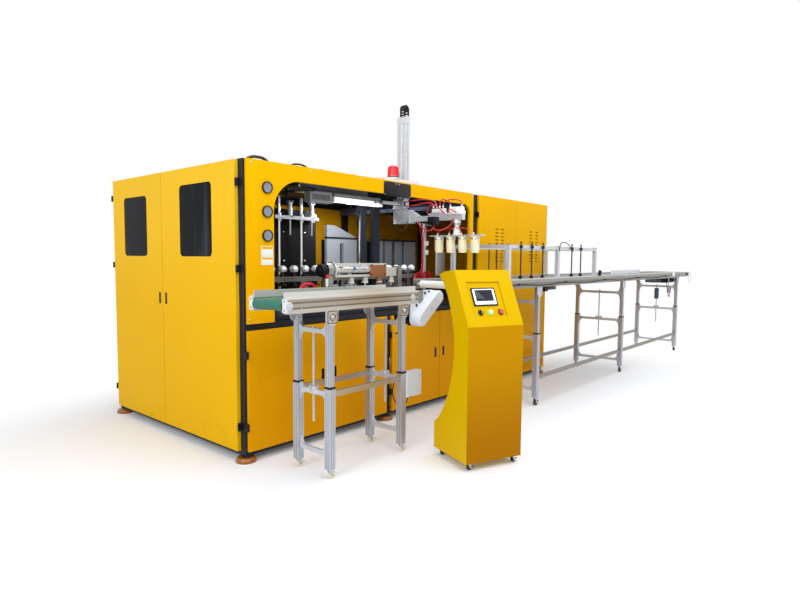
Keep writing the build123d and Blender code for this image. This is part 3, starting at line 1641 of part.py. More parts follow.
# Cable clipped along the second conveyor's front rail, sagging between its clips
cable_y = second_rail_y[0] - cable_radius - 0.3
cable_height = second_rail_top - cable_drop
cable_points = []
for start, end in zip(clip_xs[:-1], clip_xs[1:]):
    cable_points.append((start, cable_y, cable_height))
    cable_points.append((start + (end - start) * 0.52, cable_y, cable_height - cable_sag))
cable_points.append((clip_xs[-1], cable_y, cable_height))
cable_points.append((clip_xs[-1] + 120, cable_y, cable_height - 14))
write_piece("deck_2_cable", tube_along("deck_2_cable", cable_points, cable_radius))

# Roof conduit and the air hoses of the turn-over unit
conduit_sets = (
    (
        (108, 100, cabinet_height),
        (108, 100, cabinet_height + 20),
        (160, 102, cabinet_height + 44),
        (256, 104, cabinet_height + 44),
        (304, 106, cabinet_height + 18),
        (304, 106, cabinet_height),
    ),
    (
        (523, 100, cabinet_height),
        (523, 100, cabinet_height + 22),
        (568, 100, cabinet_height + 38),
        (644, 100, cabinet_height + 38),
        (689, 100, cabinet_height + 22),
        (689, 100, cabinet_height),
    ),
)
hose_sets = (
    (
        (609, 126, bed_top),
        (609, 126, 1268),
        (660, 122, 1328),
        (766, 122, 1328),
        (817, 126, 1268),
        (817, 126, bed_top),
    ),
    (
        (640, 158, bed_top),
        (640, 158, 1240),
        (680, 154, 1292),
        (752, 154, 1292),
        (792, 158, 1240),
        (792, 158, bed_top),
    ),
)
hoses = [tube_along("roof conduit", points, radius) for points, radius in zip(conduit_sets, (12, 8))]
for points in hose_sets:
    hoses.append(tube_along("air hose", points, 13))
write_group("hoses_and_cables", hoses)

# Operator console
side_plane = Plane(origin=console_corner, x_dir=inward, z_dir=across)
slope_length = hypot(console_top_depth, console_top - console_knee)
slope_up = (inward * console_top_depth + Vector(0, 0, console_top - console_knee)) / slope_length
slope_origin = console_corner + Vector(0, 0, console_knee)
slope_plane = Plane(origin=slope_origin, x_dir=across, z_dir=across.cross(slope_up))
with BuildPart() as console_body:
    with BuildSketch(side_plane):
        with BuildLine():
            Polyline(
                (343, console_top - 15),
                (console_top_depth, console_top),
                (0, console_knee),
                (0, console_foot),
                (console_depth, console_foot),
                (console_depth, console_foot + 208),
                (console_depth - 49, console_foot + 244),
            )
            back_curve = Spline(
                (console_depth - 49, console_foot + 244),
                (console_waist_depth, console_foot + console_waist_height),
                (console_neck_depth, console_foot + console_neck_height),
                (189, console_knee - 108),
                (241, console_top - 299),
                (312, console_top - 153),
                (413, console_top - 43),
            )
            Line(back_curve @ 1, (343, console_top - 15))
        make_face()
    extrude(amount=console_width)
    with BuildSketch(slope_plane):
        with Locations(((recess_x[0] + recess_x[1]) / 2, (recess_s[0] + recess_s[1]) / 2)):
            Rectangle(recess_x[1] - recess_x[0], recess_s[1] - recess_s[0])
    extrude(amount=-recess_depth, mode=Mode.SUBTRACT)
    with BuildSketch(slope_plane.offset(-recess_depth)):
        for x in (selector_x, start_x, stop_x):
            with Locations((x, button_s)):
                Circle(button_bore)
    extrude(amount=-30, mode=Mode.SUBTRACT)
write_piece("console_body", console_body.part)

recess_plane = slope_plane.offset(-recess_depth)
with BuildPart() as console_screen:
    with BuildSketch(recess_plane):
        with Locations(((screen_x[0] + screen_x[1]) / 2, (screen_s[0] + screen_s[1]) / 2)):
            RectangleRounded(screen_x[1] - screen_x[0], screen_s[1] - screen_s[0], 8)
    extrude(amount=screen_proud)
write_piece("console_screen", console_screen.part)


def panel_button(x, cap_radius, cap_height, lift):
    """A panel button: a cap over a stem that runs in the panel's hole."""
    with BuildPart() as button:
        with BuildSketch(recess_plane.offset(lift)):
            with Locations((x, button_s)):
                Circle(cap_radius)
        extrude(amount=cap_height)
        with BuildSketch(recess_plane.offset(lift)):
            with Locations((x, button_s)):
                Circle(button_bore - running_gap)
        extrude(amount=-lift - 20)
    return button.part


with BuildPart() as selector_knob:
    add(panel_button(selector_x, 15, 8, running_gap))
    with BuildSketch(recess_plane.offset(running_gap + 8)):
        with Locations((selector_x, button_s)):
            Rectangle(8, 28)
    extrude(amount=10)
write_piece("selector_knob", selector_knob.part)
write_piece("start_button", panel_button(start_x, 16, 9, button_travel + running_gap))
write_piece("stop_button", panel_button(stop_x, 18, 12, button_travel + running_gap))
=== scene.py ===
# %% [markdown]
# # A bottle blow moulding line
#
# The line is a yellow cabinet with an open front, a take-out arm that hangs bottles on a belt,
# two belt conveyors on telescopic stands, and a console. The shapes that carry load come from
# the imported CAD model. This lesson gives them their finishes and adds what a step closer shows:
# screws, dials, hoses, fittings, turned spindles and wheels.
#
# ## Step 1: load the frame
#
# The CAD model could be rebuilt in Blender, but then its sizes would drift. It is loaded as it
# is, and every new piece is placed from its sizes, in metres.

# %% Load the frame
from math import cos, pi, radians, sin

import bmesh
import bpy
from mathutils import Matrix, Vector


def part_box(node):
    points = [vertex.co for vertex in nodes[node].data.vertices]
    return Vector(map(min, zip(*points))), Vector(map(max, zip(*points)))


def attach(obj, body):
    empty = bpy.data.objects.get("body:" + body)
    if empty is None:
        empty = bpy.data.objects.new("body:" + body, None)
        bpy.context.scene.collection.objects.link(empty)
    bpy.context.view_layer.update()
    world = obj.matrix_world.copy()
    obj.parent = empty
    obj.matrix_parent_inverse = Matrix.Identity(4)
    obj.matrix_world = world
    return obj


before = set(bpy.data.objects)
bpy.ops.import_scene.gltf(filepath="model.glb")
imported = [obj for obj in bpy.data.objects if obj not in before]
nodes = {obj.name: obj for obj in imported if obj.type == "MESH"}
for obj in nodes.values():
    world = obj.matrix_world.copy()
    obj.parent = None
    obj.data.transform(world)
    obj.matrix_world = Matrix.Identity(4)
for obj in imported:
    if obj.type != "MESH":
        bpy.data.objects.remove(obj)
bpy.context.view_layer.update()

# %% [markdown]
# ## Step 2: tools for modelling
#
# Each new piece starts as one of Blender's primitives and is shaped by operators. An operator
# works on all that is selected, and loading leaves the CAD nodes selected, so each tool
# deselects everything first. Each one leaves its piece at the origin with its place in its mesh.

# %% Tools that start and finish a piece
SMOOTH_ANGLE = radians(30)
BEVEL_ANGLE = radians(35)
UP = (0, 0, 1)
DOWN = (0, 0, -1)
FRONT = (0, -1, 0)
BACK = (0, 1, 0)
LEFT = (-1, 0, 0)
RIGHT = (1, 0, 0)


def deselect():
    """Leave edit mode and select nothing."""
    if bpy.context.object and bpy.context.object.mode != "OBJECT":
        bpy.ops.object.mode_set(mode="OBJECT")
    bpy.ops.object.select_all(action="DESELECT")


def settle(piece, name="part"):
    """Apply a piece's modifiers and place, and shade its round parts smooth."""
    deselect()
    piece.select_set(True)
    bpy.context.view_layer.objects.active = piece
    for modifier in list(piece.modifiers):
        bpy.ops.object.modifier_apply(modifier=modifier.name)
    bpy.ops.object.transform_apply(location=True, rotation=True, scale=True)
    bpy.ops.object.shade_smooth_by_angle(angle=SMOOTH_ANGLE)
    piece.name = name
    piece.data.name = name
    return piece


def soften(piece, width):
    """Round a piece's sharp edges with a bevel modifier."""
    bevel = piece.modifiers.new("edge", "BEVEL")
    bevel.width = width
    bevel.segments = 2
    bevel.limit_method = "ANGLE"
    bevel.angle_limit = BEVEL_ANGLE


def block(low, high, edge=0.002):
    """A rectangular piece between two corners, with softened edges."""
    deselect()
    centre = [(a + b) / 2 for a, b in zip(low, high)]
    bpy.ops.mesh.primitive_cube_add(size=1, location=centre)
    piece = bpy.context.object
    piece.scale = [abs(b - a) for a, b in zip(low, high)]
    bpy.ops.object.transform_apply(location=False, rotation=False, scale=True)
    if edge:
        soften(piece, edge)
    return settle(piece)


def slab(centre, size, edge=0.002):
    """A rectangular piece given by its middle and size."""
    low = [middle - length / 2 for middle, length in zip(centre, size)]
    return block(low, [start + length for start, length in zip(low, size)], edge)


def aim(direction):
    """The rotation that turns +Z to a direction."""
    return Vector(UP).rotation_difference(Vector(direction)).to_matrix().to_4x4()


def turned(profile, steps=32, place=(0, 0, 0), direction=UP):
    """A turned piece: a chain of (radius, height) points spun round its axis."""
    deselect()
    bpy.ops.mesh.primitive_plane_add(size=0.01, location=(0, 0, 0))
    piece = bpy.context.object
    bpy.ops.object.mode_set(mode="EDIT")
    bpy.ops.mesh.select_all(action="SELECT")
    bpy.ops.mesh.merge(type="CENTER")
    bpy.ops.transform.translate(value=(profile[0][0], 0, profile[0][1]))
    for before, after in zip(profile[:-1], profile[1:]):
        step = (after[0] - before[0], 0, after[1] - before[1])
        bpy.ops.mesh.extrude_region_move(TRANSFORM_OT_translate={"value": step})
    bpy.ops.mesh.select_all(action="SELECT")
    bpy.ops.mesh.spin(steps=steps, angle=2 * pi, center=(0, 0, 0), axis=(0, 0, 1))
    bpy.ops.mesh.select_all(action="SELECT")
    bpy.ops.mesh.remove_doubles(threshold=0.00001)
    bpy.ops.mesh.normals_make_consistent(inside=False)
    bpy.ops.object.mode_set(mode="OBJECT")
    piece.data.transform(Matrix.Translation(place) @ aim(direction))
    return settle(piece)


def drum(place, direction, radius, length, edge=0.001, steps=32):
    """A round bar with softened ends, from place along direction."""
    edge = min(edge, radius * 0.45, length * 0.45)
    profile = [(0, 0), (radius - edge, 0), (radius, edge)]
    profile += [(radius, length - edge), (radius - edge, length), (0, length)]
    return turned(profile, steps, place, direction)


def plate(outline, place, across, outward, thickness, edge=0.001):
    """A flat piece cut to an outline of (across, up) points, thick towards outward."""
    across = Vector(across).normalized()
    outward = Vector(outward).normalized()
    up = outward.cross(across)
    deselect()
    bpy.ops.mesh.primitive_circle_add(vertices=len(outline), radius=1, fill_type="NGON")
    piece = bpy.context.object
    for vertex, (right, rise) in zip(piece.data.vertices, outline):
        vertex.co = Vector(place) + across * right + up * rise
    bpy.ops.object.mode_set(mode="EDIT")
    bpy.ops.mesh.select_all(action="SELECT")
    bpy.ops.mesh.extrude_region_move(TRANSFORM_OT_translate={"value": outward * thickness})
    bpy.ops.mesh.select_all(action="SELECT")
    bpy.ops.mesh.normals_make_consistent(inside=False)
    bpy.ops.object.mode_set(mode="OBJECT")
    if edge:
        soften(piece, edge)
    return settle(piece)


def rounded(width, height, radius, steps=5):
    """The outline of a rectangle with round corners, centred on zero."""
    points = []
    for corner in range(4):
        middle = radians(90 * corner)
        x = (width / 2 - radius) * (1 if corner in (0, 3) else -1)
        z = (height / 2 - radius) * (1 if corner in (0, 1) else -1)
        for step in range(steps + 1):
            angle = middle + radians(90) * step / steps
            points.append((x + radius * cos(angle), z + radius * sin(angle)))
    return points


def tube(points, radius, resolution=3):
    """A round hose whose middle follows a smooth curve steered by a few control points."""
    curve = bpy.data.curves.new("route", "CURVE")
    curve.dimensions = "3D"
    spline = curve.splines.new("NURBS")
    spline.points.add(len(points) - 1)
    for point, place in zip(spline.points, points):
        point.co = (*place, 1)
    spline.order_u = 3
    spline.use_endpoint_u = True
    curve.bevel_depth = radius
    curve.bevel_resolution = resolution
    curve.resolution_u = 8
    curve.use_fill_caps = True
    piece = bpy.data.objects.new("tube", curve)
    bpy.context.collection.objects.link(piece)
    deselect()
    piece.select_set(True)
    bpy.context.view_layer.objects.active = piece
    bpy.ops.object.convert(target="MESH")
    return settle(bpy.context.object)


def moved(place):
    """The matrix that carries a template from the origin to a place."""
    return Matrix.Translation(place)


def copies(template, matrices, name):
    """One piece made of copies of a template, which is then deleted."""
    merged = bmesh.new()
    for matrix in matrices:
        one = template.data.copy()
        one.transform(matrix)
        merged.from_mesh(one)
        bpy.data.meshes.remove(one)
    mesh = bpy.data.meshes.new(name)
    merged.to_mesh(mesh)
    merged.free()
    piece = bpy.data.objects.new(name, mesh)
    bpy.context.collection.objects.link(piece)
    bpy.data.objects.remove(template)
    return settle(piece, name)


def joined(pieces, name):
    """Several pieces of one finish as one piece."""
    deselect()
    for piece in pieces:
        piece.select_set(True)
    bpy.context.view_layer.objects.active = pieces[0]
    if len(pieces) > 1:
        bpy.ops.object.join()
    return settle(bpy.context.object, name)


made = []


def dress(piece, finish, body="machine"):
    """Give a piece its finish and let it ride on its body."""
    piece.data.materials.clear()
    piece.data.materials.append(finish)
    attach(piece, body)
    made.append(piece.name)


def fit(name, finish, pieces, body="machine"):
    """Join pieces of one finish under a name, and fit the result to its body."""
    dress(joined(pieces, name), finish, body)


def fit_copies(name, finish, template, places, direction=UP, body="machine"):
    """Copy a template to every place, turned to a direction, and fit the copies to a body."""
    turn = aim(direction)
    dress(copies(template, [moved(place) @ turn for place in places], name), finish, body)
# %% [markdown]
# ## Step 3: the camera
#
# The camera stands where the photographer stood, a little above belt height. Its place and
# turn could be guessed by eye. They were worked out from the cabinet's long edges instead, and
# are written here as a point, three angles and a lens.

# %% Place the camera
eye = Vector((-2.4443, -3.6427, 1.5545))
yaw = radians(49.113)
pitch = radians(4.206)
roll = radians(0.460)
ahead = Vector((sin(yaw) * cos(pitch), cos(yaw) * cos(pitch), -sin(pitch)))
level = Vector((cos(yaw), -sin(yaw), 0))
upward = level.cross(ahead)
right_hand = level * cos(roll) + upward * sin(roll)
head = upward * cos(roll) - level * sin(roll)
lens = bpy.data.cameras.new("photo_camera")
lens.lens = 25.84
lens.sensor_width = 36
lens.clip_end = 200
camera = bpy.data.objects.new("photo_camera", lens)
camera.matrix_world = Matrix.Translation(eye) @ Matrix((right_hand, head, -ahead)).transposed().to_4x4()
bpy.context.collection.objects.link(camera)
bpy.context.scene.camera = camera
print("camera looks along", [round(value, 3) for value in ahead])
# %% [markdown]
# ## Step 4: shader maths as Python
#
# A finish is a small program on a surface: noise shifts a colour, a mask picks a zone. It could
# be wired node by node. Here a class wraps a socket, so that masks are written as sums and
# products, and a second class makes any other node and ends in one principled shader.

# %% The socket class
class Socket:
    """A shader value that Python's operators join to numbers and other values."""

    def __init__(self, finish, link):
        self.finish = finish
        self.link = link

    def math(self, operation, *others):
        return self.finish.node("ShaderNodeMath", {"operation": operation}, self, *others)

    def __add__(self, other):
        return self.math("ADD", other)

    def __radd__(self, other):
        return self.math("ADD", other)

    def __sub__(self, other):
        return self.math("SUBTRACT", other)

    def __rsub__(self, other):
        return self.finish.node("ShaderNodeMath", {"operation": "SUBTRACT"}, other, self)

    def __mul__(self, other):
        return self.math("MULTIPLY", other)

    def __rmul__(self, other):
        return self.math("MULTIPLY", other)

    def __gt__(self, edge):
        return self.math("GREATER_THAN", edge)

    def __lt__(self, edge):
        return self.math("LESS_THAN", edge)

    def ease(self, low, high):
        """0 below low, 1 above high, and smooth between."""
        settings = {"interpolation_type": "SMOOTHSTEP"}
        return self.finish.node("ShaderNodeMapRange", settings, self, low, high, 0.0, 1.0)


class Finish:
    """A material whose nodes are added by calls."""

    def __init__(self, name, rough, metal=0.0, coat=0.0, specular=0.5):
        self.material = bpy.data.materials.new(name)
        self.material.use_nodes = True
        self.tree = self.material.node_tree
        self.shader = self.tree.nodes["Principled BSDF"]
        self.shader.inputs["Roughness"].default_value = rough
        self.shader.inputs["Metallic"].default_value = metal
        self.shader.inputs["Coat Weight"].default_value = coat
        self.shader.inputs["Coat Roughness"].default_value = 0.12
        self.shader.inputs["Specular IOR Level"].default_value = specular
        place = self.tree.nodes.new("ShaderNodeTexCoord")
        self.place = Socket(self, place.outputs["Object"])
        split = self.tree.nodes.new("ShaderNodeSeparateXYZ")
        self.tree.links.new(place.outputs["Object"], split.inputs[0])
        self.x, self.y, self.z = [Socket(self, out) for out in split.outputs]

    def fill(self, socket, value):
        """Put a link, number or colour on a socket."""
        if isinstance(value, Socket):
            self.tree.links.new(value.link, socket)
        elif isinstance(value, (tuple, list)):
            opaque = (1.0,) if socket.type == "RGBA" and len(value) == 3 else ()
            socket.default_value = (*value, *opaque)
        else:
            socket.default_value = value

    def node(self, kind, settings, *values, out=0, **named):
        """Any node: its type, its settings, and the values of its sockets in order or by name."""
        made_node = self.tree.nodes.new(kind)
        for key, value in settings.items():
            setattr(made_node, key, value)
        for socket, value in zip(made_node.inputs, values):
            self.fill(socket, value)
        for key, value in named.items():
            self.fill(made_node.inputs[key.replace("_", " ")], value)
        return Socket(self, made_node.outputs[out])

    def stretched(self, scale):
        """The place on the piece, scaled differently along each axis."""
        return self.node("ShaderNodeMapping", {}, self.place, Scale=scale)

    def noise(self, scale, detail=2.0, along=None):
        """Cloudy noise from 0 to 1, stretched where along gives three scales."""
        vector = self.stretched(along) if along else self.place
        return self.node("ShaderNodeTexNoise", {}, Vector=vector, Scale=scale, Detail=detail)

    def mix(self, mask, first, second):
        """A colour between two, where the mask goes from 0 to 1."""
        mixer = self.tree.nodes.new("ShaderNodeMix")
        mixer.data_type = "RGBA"
        self.fill(mixer.inputs[0], mask)
        self.fill(mixer.inputs[6], first)
        self.fill(mixer.inputs[7], second)
        return Socket(self, mixer.outputs[2])

    def inside(self, x=None, y=None, z=None):
        """1 inside a box in the frame's metres, 0 outside."""
        mask = None
        for value, limits in ((self.x, x), (self.y, y), (self.z, z)):
            if limits:
                part = (value > limits[0]) * (value < limits[1])
                mask = part if mask is None else mask * part
        return mask

    def colour(self, value):
        self.fill(self.shader.inputs["Base Color"], value)

    def rough(self, value):
        self.fill(self.shader.inputs["Roughness"], value)

    def metal(self, value):
        self.fill(self.shader.inputs["Metallic"], value)

    def glow(self, value, strength):
        self.fill(self.shader.inputs["Emission Color"], value)
        self.shader.inputs["Emission Strength"].default_value = strength

    def bump(self, height, distance, strength=1.0):
        """Relief of a height from 0 to 1, that many metres deep."""
        relief = self.node("ShaderNodeBump", {}, Height=height, Distance=distance, Strength=strength)
        self.fill(self.shader.inputs["Normal"], relief)


def linear(value):
    """One sRGB channel, 0 to 255, as the linear value that shaders use."""
    if value > 10:
        return round(((value / 255 + 0.055) / 1.055) ** 2.4, 4)
    return round(value / 255 / 12.92, 4)


def tone(red, green, blue):
    """A colour written as a picture shows it, 0 to 255, made linear."""
    return (linear(red), linear(green), linear(blue))


def shaded(colour, share):
    """A colour made darker or lighter."""
    return tuple(min(1.0, value * share) for value in colour)
# %% [markdown]
# ## Step 5: paint
#
# The sheets are powder coated: a faint orange peel, a soft gloss, and a little dust and
# rubbing near the floor. The yellow is painted darker towards the bottom as painted shade, and
# the end doors are painted paler at the top as a painted sheen. A flat colour would look like
# plastic, so slow noise shifts the colour and the gloss, and fine noise gives the peel.

# %% Painted finishes
PEEL_GRAIN = 420.0
PEEL_DEPTH = 0.00012


def paint(name, colour, rough=0.36, coat=0.0, dust=0.10, specular=0.04, painted_light_low_colour=None, painted_light_heights=(0.2, 1.8)):
    """Powder coat with orange peel, slow colour drift, a painted shade and sheen gradient with height, and
    dust and rubbing near the floor.
    """
    finish = Finish(name, rough, coat=coat, specular=specular)
    drift = finish.noise(1.3, 3.0)
    # Painted shade and sheen: between the two heights the colour goes from a darker colour low down to a
    # lighter one at the top.
    body_colour = finish.mix(finish.z.ease(*painted_light_heights), painted_light_low_colour or colour, colour)
    body_colour = finish.mix(drift.ease(0.3, 0.7) * 0.08, body_colour, shaded(colour, 0.6))
    low = (1 - finish.z.ease(0.08, 0.42)) * finish.noise(7.0, 5.0).ease(0.42, 0.72) * dust
    finish.colour(finish.mix(low, body_colour, shaded(colour, 0.45)))
    finish.rough(rough + 0.10 * finish.noise(4.0, 4.0) + 0.25 * low)
    finish.bump(finish.noise(PEEL_GRAIN, 1.0), PEEL_DEPTH, 0.5)
    return finish.material


# The darker yellow low down is painted shade, and the end doors' paler, bluer colour at the top is a painted
# sheen.
YELLOW = tone(238, 178, 0)
SHADED_LOW_YELLOW = tone(224, 153, 0)
yellow_paint = paint("yellow_powder_coat", YELLOW, painted_light_low_colour=SHADED_LOW_YELLOW)
end_low = tone(228, 176, 0)
end_door_sheen_paint = paint("end_door_powder_coat", tone(232, 184, 40), painted_light_low_colour=end_low, painted_light_heights=(0.9, 2.2))
white_paint = paint("white_powder_coat", tone(226, 228, 230), 0.4)
black_paint = paint("black_frame_paint", tone(24, 28, 38), 0.42, 0.02, 0.25, 0.25)
guard_paint = paint("pale_guard_paint", tone(212, 219, 228), 0.35, specular=0.4)
blue_grey_paint = paint("blue_grey_beam_paint", tone(86, 96, 116), 0.42)

# %% [markdown]
# The console's front face is painted darker than its sides, and darker still towards the bottom,
# as painted shade. The face could be its own piece, but it is one folded sheet with the rest, so
# a mask picks the points that lie on its plane.

# %% The console's paint
console_corner = Vector((0.944, -1.357, 0))
console_turn = radians(-21.9)
across = Vector((cos(console_turn), sin(console_turn), 0))
inward = Vector((-sin(console_turn), cos(console_turn), 0))
console_finish = Finish("console_powder_coat", 0.36, specular=0.04)
along_x = (console_finish.x - console_corner.x) * inward.x
from_front = along_x + (console_finish.y - console_corner.y) * inward.y
# Painted shade: the front face darker than the sides and slope, darkest at the bottom.
painted_shade_front_tone = console_finish.mix(console_finish.z.ease(0.1, 1.0), tone(168, 110, 0), tone(192, 138, 0))
console_finish.colour(console_finish.mix(from_front < 0.003, tone(212, 172, 0), painted_shade_front_tone))
console_finish.rough(0.36 + 0.08 * console_finish.noise(4.0, 4.0))
console_finish.bump(console_finish.noise(PEEL_GRAIN, 1.0), PEEL_DEPTH, 0.5)
console_paint = console_finish.material
print("paints ready")

# %% [markdown]
# ## Step 6: metals
#
# Drawn aluminium has fine streaks along its length, cast alloy has a grainy skin, and polished
# steel is nearly a mirror. Each is metallic noise at its own scale and stretch.

# %% Metal finishes
LENGTHWISE = (2.0, 420.0, 420.0)
CROSSWISE = (420.0, 2.0, 420.0)
UPRIGHT = (420.0, 420.0, 2.0)


def drawn_metal(name, colour, rough, along, metal=1.0, bands=(), slots=(), streak=0.00003, spread=0.16):
    """Metal with streaks along one axis, bands of painted shade, highlight and reflection, and dark slot
    lines of painted shade beside centre lines.
    """
    finish = Finish(name, rough, metal=metal)
    lines = finish.noise(1.0, 3.0, along)
    clouds = finish.noise(3.0, 3.0)
    skin = finish.mix(lines * 0.6 + clouds * 0.4, shaded(colour, 0.82), shaded(colour, 1.08))
    # The bands are painted shade, highlight and reflection, and the slot lines are painted shade.
    for limits, shading_colour in bands:
        skin = finish.mix(finish.inside(**limits) * (0.7 + 0.3 * clouds), skin, shading_colour)
    for axis, centre in slots:
        beside = ((getattr(finish, axis) - centre).math("ABSOLUTE") - SLOT_OFFSET).math("ABSOLUTE")
        skin = finish.mix((beside < SLOT_HALF) * 0.75, skin, shaded(colour, 0.22))
    finish.colour(skin)
    finish.rough(rough - spread / 2 + spread * lines)
    finish.bump(lines, streak, 0.6)
    return finish.material


def cast_metal(name, colour, rough, grain=260.0, depth=0.0004, metal=1.0):
    """Cast or tumbled metal with a fine grainy skin."""
    finish = Finish(name, rough, metal=metal)
    skin = finish.noise(grain, 3.0)
    clouds = finish.noise(9.0, 4.0)
    finish.colour(finish.mix(clouds, shaded(colour, 0.84), shaded(colour, 1.1)))
    finish.rough(rough - 0.08 + 0.16 * clouds)
    finish.bump(skin, depth, 0.5)
    return finish.material


ALUMINIUM = tone(208, 212, 219)
rail_metal = drawn_metal("drawn_aluminium_lengthwise", ALUMINIUM, 0.42, LENGTHWISE, 0.6)
upright_metal = drawn_metal("drawn_aluminium_upright", ALUMINIUM, 0.42, UPRIGHT, 0.6)
cross_metal = drawn_metal("drawn_aluminium_crosswise", ALUMINIUM, 0.40, CROSSWISE, 0.6)
cast_alloy = cast_metal("cast_alloy", tone(196, 200, 205), 0.5, metal=0.5)
mirror_tone = tone(228, 229, 232)
mirror_grain = (90.0, 90.0, 6.0)
polished_steel = drawn_metal("polished_steel", mirror_tone, 0.12, mirror_grain, streak=0.00001, spread=0.06)
bright_steel = drawn_metal("machined_steel", tone(178, 182, 188), 0.3, (160.0, 160.0, 30.0))
dark_steel = cast_metal("blackened_steel", tone(50, 50, 54), 0.42, 300.0, 0.0002)
zinc_steel = drawn_metal("zinc_plated_steel", tone(200, 202, 206), 0.26, (60.0, 60.0, 60.0), streak=0.00002)
thread_steel = cast_metal("dull_thread_steel", tone(176, 178, 184), 0.55, metal=0.5)
bronze_zinc = cast_metal("yellow_zinc_bracket", tone(150, 118, 66), 0.4, 200.0, 0.0002)
dull_rail_steel = drawn_metal("dull_rail_steel", tone(124, 119, 112), 0.4, LENGTHWISE, 0.7)

# %% [markdown]
# The legs and rails are slotted extrusions. Their slots could be cut as grooves, but the two
# lines beside each leg's middle are only a few millimetres wide, so they are painted as dark
# lines, painted shade for the inside of each slot. The rails' grooves are in the CAD model, and
# bands of painted shade and painted reflection of the yellow paint bring them out. The legs'
# low rails get such bands too.

# %% Extrusions
FIRST_STANDS = (0.220, 0.980)
FIRST_LEG_YS = (-0.697, -0.353)
SECOND_STANDS = (3.050, 5.500, 8.040)
SECOND_LEG_YS = (-0.795, -0.165)
SLOT_OFFSET = 0.0105
SLOT_HALF = 0.0021
# Painted shade: a dark line on each side of every leg's middle, for the inside of its slots.
leg_slot_shading = [("x", x) for x in FIRST_STANDS + SECOND_STANDS]
leg_slot_shading += [("y", y) for y in FIRST_LEG_YS + SECOND_LEG_YS]
low_rails = ((3.080, 5.470), (5.530, 8.010))
# Painted shade with a painted reflection of the yellow paint: darker brownish bands on the low rails.
leg_shading_bands = [({"x": span, "z": (0.25, 0.35)}, tone(132, 122, 106)) for span in low_rails]
leg_shading_bands.append(({"x": (0.250, 0.950), "z": (0.570, 0.630)}, tone(176, 162, 138)))
leg_tone = tone(190, 194, 203)
leg_metal = drawn_metal("slotted_leg_extrusion", leg_tone, 0.36, UPRIGHT, 0.75, leg_shading_bands, leg_slot_shading)


def rail_bands(edges, tones, span=None):
    """Bands of painted shade and reflection from edge to edge of height, one for each tone."""
    rows = []
    for low, high, shading_tone in zip(edges[:-1], edges[1:], tones):
        limits = {"z": (low, high)}
        if span:
            limits["x"] = span
        rows.append((limits, tone(*shading_tone)))
    return rows


# Painted shade and painted reflection on the first rail: dark brownish bands in its grooves, lighter ones
# between.
first_edges = (1.1875, 1.2160, 1.2270, 1.2520, 1.2630, 1.2800)
first_rail_shading_tones = ((186, 180, 170), (92, 80, 66), (160, 149, 134), (96, 84, 70), (150, 138, 122))
first_rail_shading_bands = rail_bands(first_edges, first_rail_shading_tones, (-0.1652, 1.1550))
first_rail_shading_bands.append(({"x": (1.1550, 1.2200)}, tone(120, 114, 108)))
first_rail_shading_bands.append(({"x": (-0.2000, -0.1652)}, tone(232, 234, 236)))
first_rail_tone = tone(214, 212, 208)
rail_1_metal = drawn_metal("first_rail_extrusion", first_rail_tone, 0.34, LENGTHWISE, 0.62, first_rail_shading_bands)
# Painted shade on the second rail: darker bands in its groove and along its lower part.
second_rail_shading_tones = ((128, 122, 114), (84, 78, 72), (150, 144, 136))
second_rail_shading_bands = rail_bands((1.262, 1.3000, 1.3120, 1.3430), second_rail_shading_tones)
second_rail_tone = tone(198, 198, 196)
rail_2_metal = drawn_metal("second_rail_extrusion", second_rail_tone, 0.34, LENGTHWISE, 0.62, second_rail_shading_bands)
print("metals ready")

# %% [markdown]
# ## Step 7: plastics, rubber and glass
#
# Moulded plastic has a dull even skin with a trace of grain. Belting is woven, so its relief
# is two crossing waves. The windows are dark glazing, nearly black with a soft gloss.

# %% Plastic, rubber and glass finishes
def moulded(name, colour, rough=0.45, grain=700.0, depth=0.0001, coat=0.0, specular=0.5):
    """Moulded plastic or rubber with a faint grain."""
    finish = Finish(name, rough, coat=coat, specular=specular)
    clouds = finish.noise(14.0, 3.0)
    finish.colour(finish.mix(clouds, shaded(colour, 0.9), shaded(colour, 1.1)))
    finish.rough(rough - 0.06 + 0.12 * clouds)
    finish.bump(finish.noise(grain, 1.0), depth, 0.5)
    return finish.material


def belting(name, colour, rough, pitch, depth):
    """Woven belting: waves along and across the belt multiply into a fine weave."""
    finish = Finish(name, rough)
    warp = finish.node("ShaderNodeTexWave", {"bands_direction": "X"}, Vector=finish.place, Scale=pitch)
    weft = finish.node("ShaderNodeTexWave", {"bands_direction": "Y"}, Vector=finish.place, Scale=pitch, out=1)
    weave = warp * weft
    rubbed = finish.noise(2.0, 4.0, (0.4, 6.0, 1.0)).ease(0.45, 0.75)
    finish.colour(finish.mix(rubbed * 0.35 + weave * 0.12, colour, shaded(colour, 1.9)))
    finish.rough(rough + 0.12 * rubbed)
    finish.bump(weave, depth, 0.6)
    return finish.material


BLACK_PARTS = tone(24, 24, 26)
RUBBER_BLACK = tone(26, 26, 28)
WHEEL_CREAM = tone(222, 214, 196)
BEACON_RED = tone(214, 20, 34)
black_plastic = moulded("black_moulded_plastic", tone(19, 20, 23), 0.42, specular=0.22)
white_plastic = moulded("white_moulded_plastic", tone(232, 233, 232), 0.38)
cream_plastic = moulded("cream_gripper_plastic", tone(236, 228, 196), 0.40)
wheel_plastic = moulded("cream_wheel_plastic", WHEEL_CREAM, 0.42)
hose_black = moulded("black_hose", tone(18, 18, 20), 0.36, specular=0.3)
hose_red = moulded("red_air_hose", tone(196, 28, 34), 0.28, coat=0.3)
hose_blue = moulded("blue_fitting_plastic", tone(44, 92, 168), 0.34)
matt_black = moulded("matt_black_plate", tone(13, 13, 16), 0.6, specular=0.12)
plug_rubber = moulded("black_rubber", RUBBER_BLACK, 0.6, 300.0, 0.0002)
green_belting = belting("green_belting", tone(24, 100, 80), 0.44, 260.0, 0.0003)
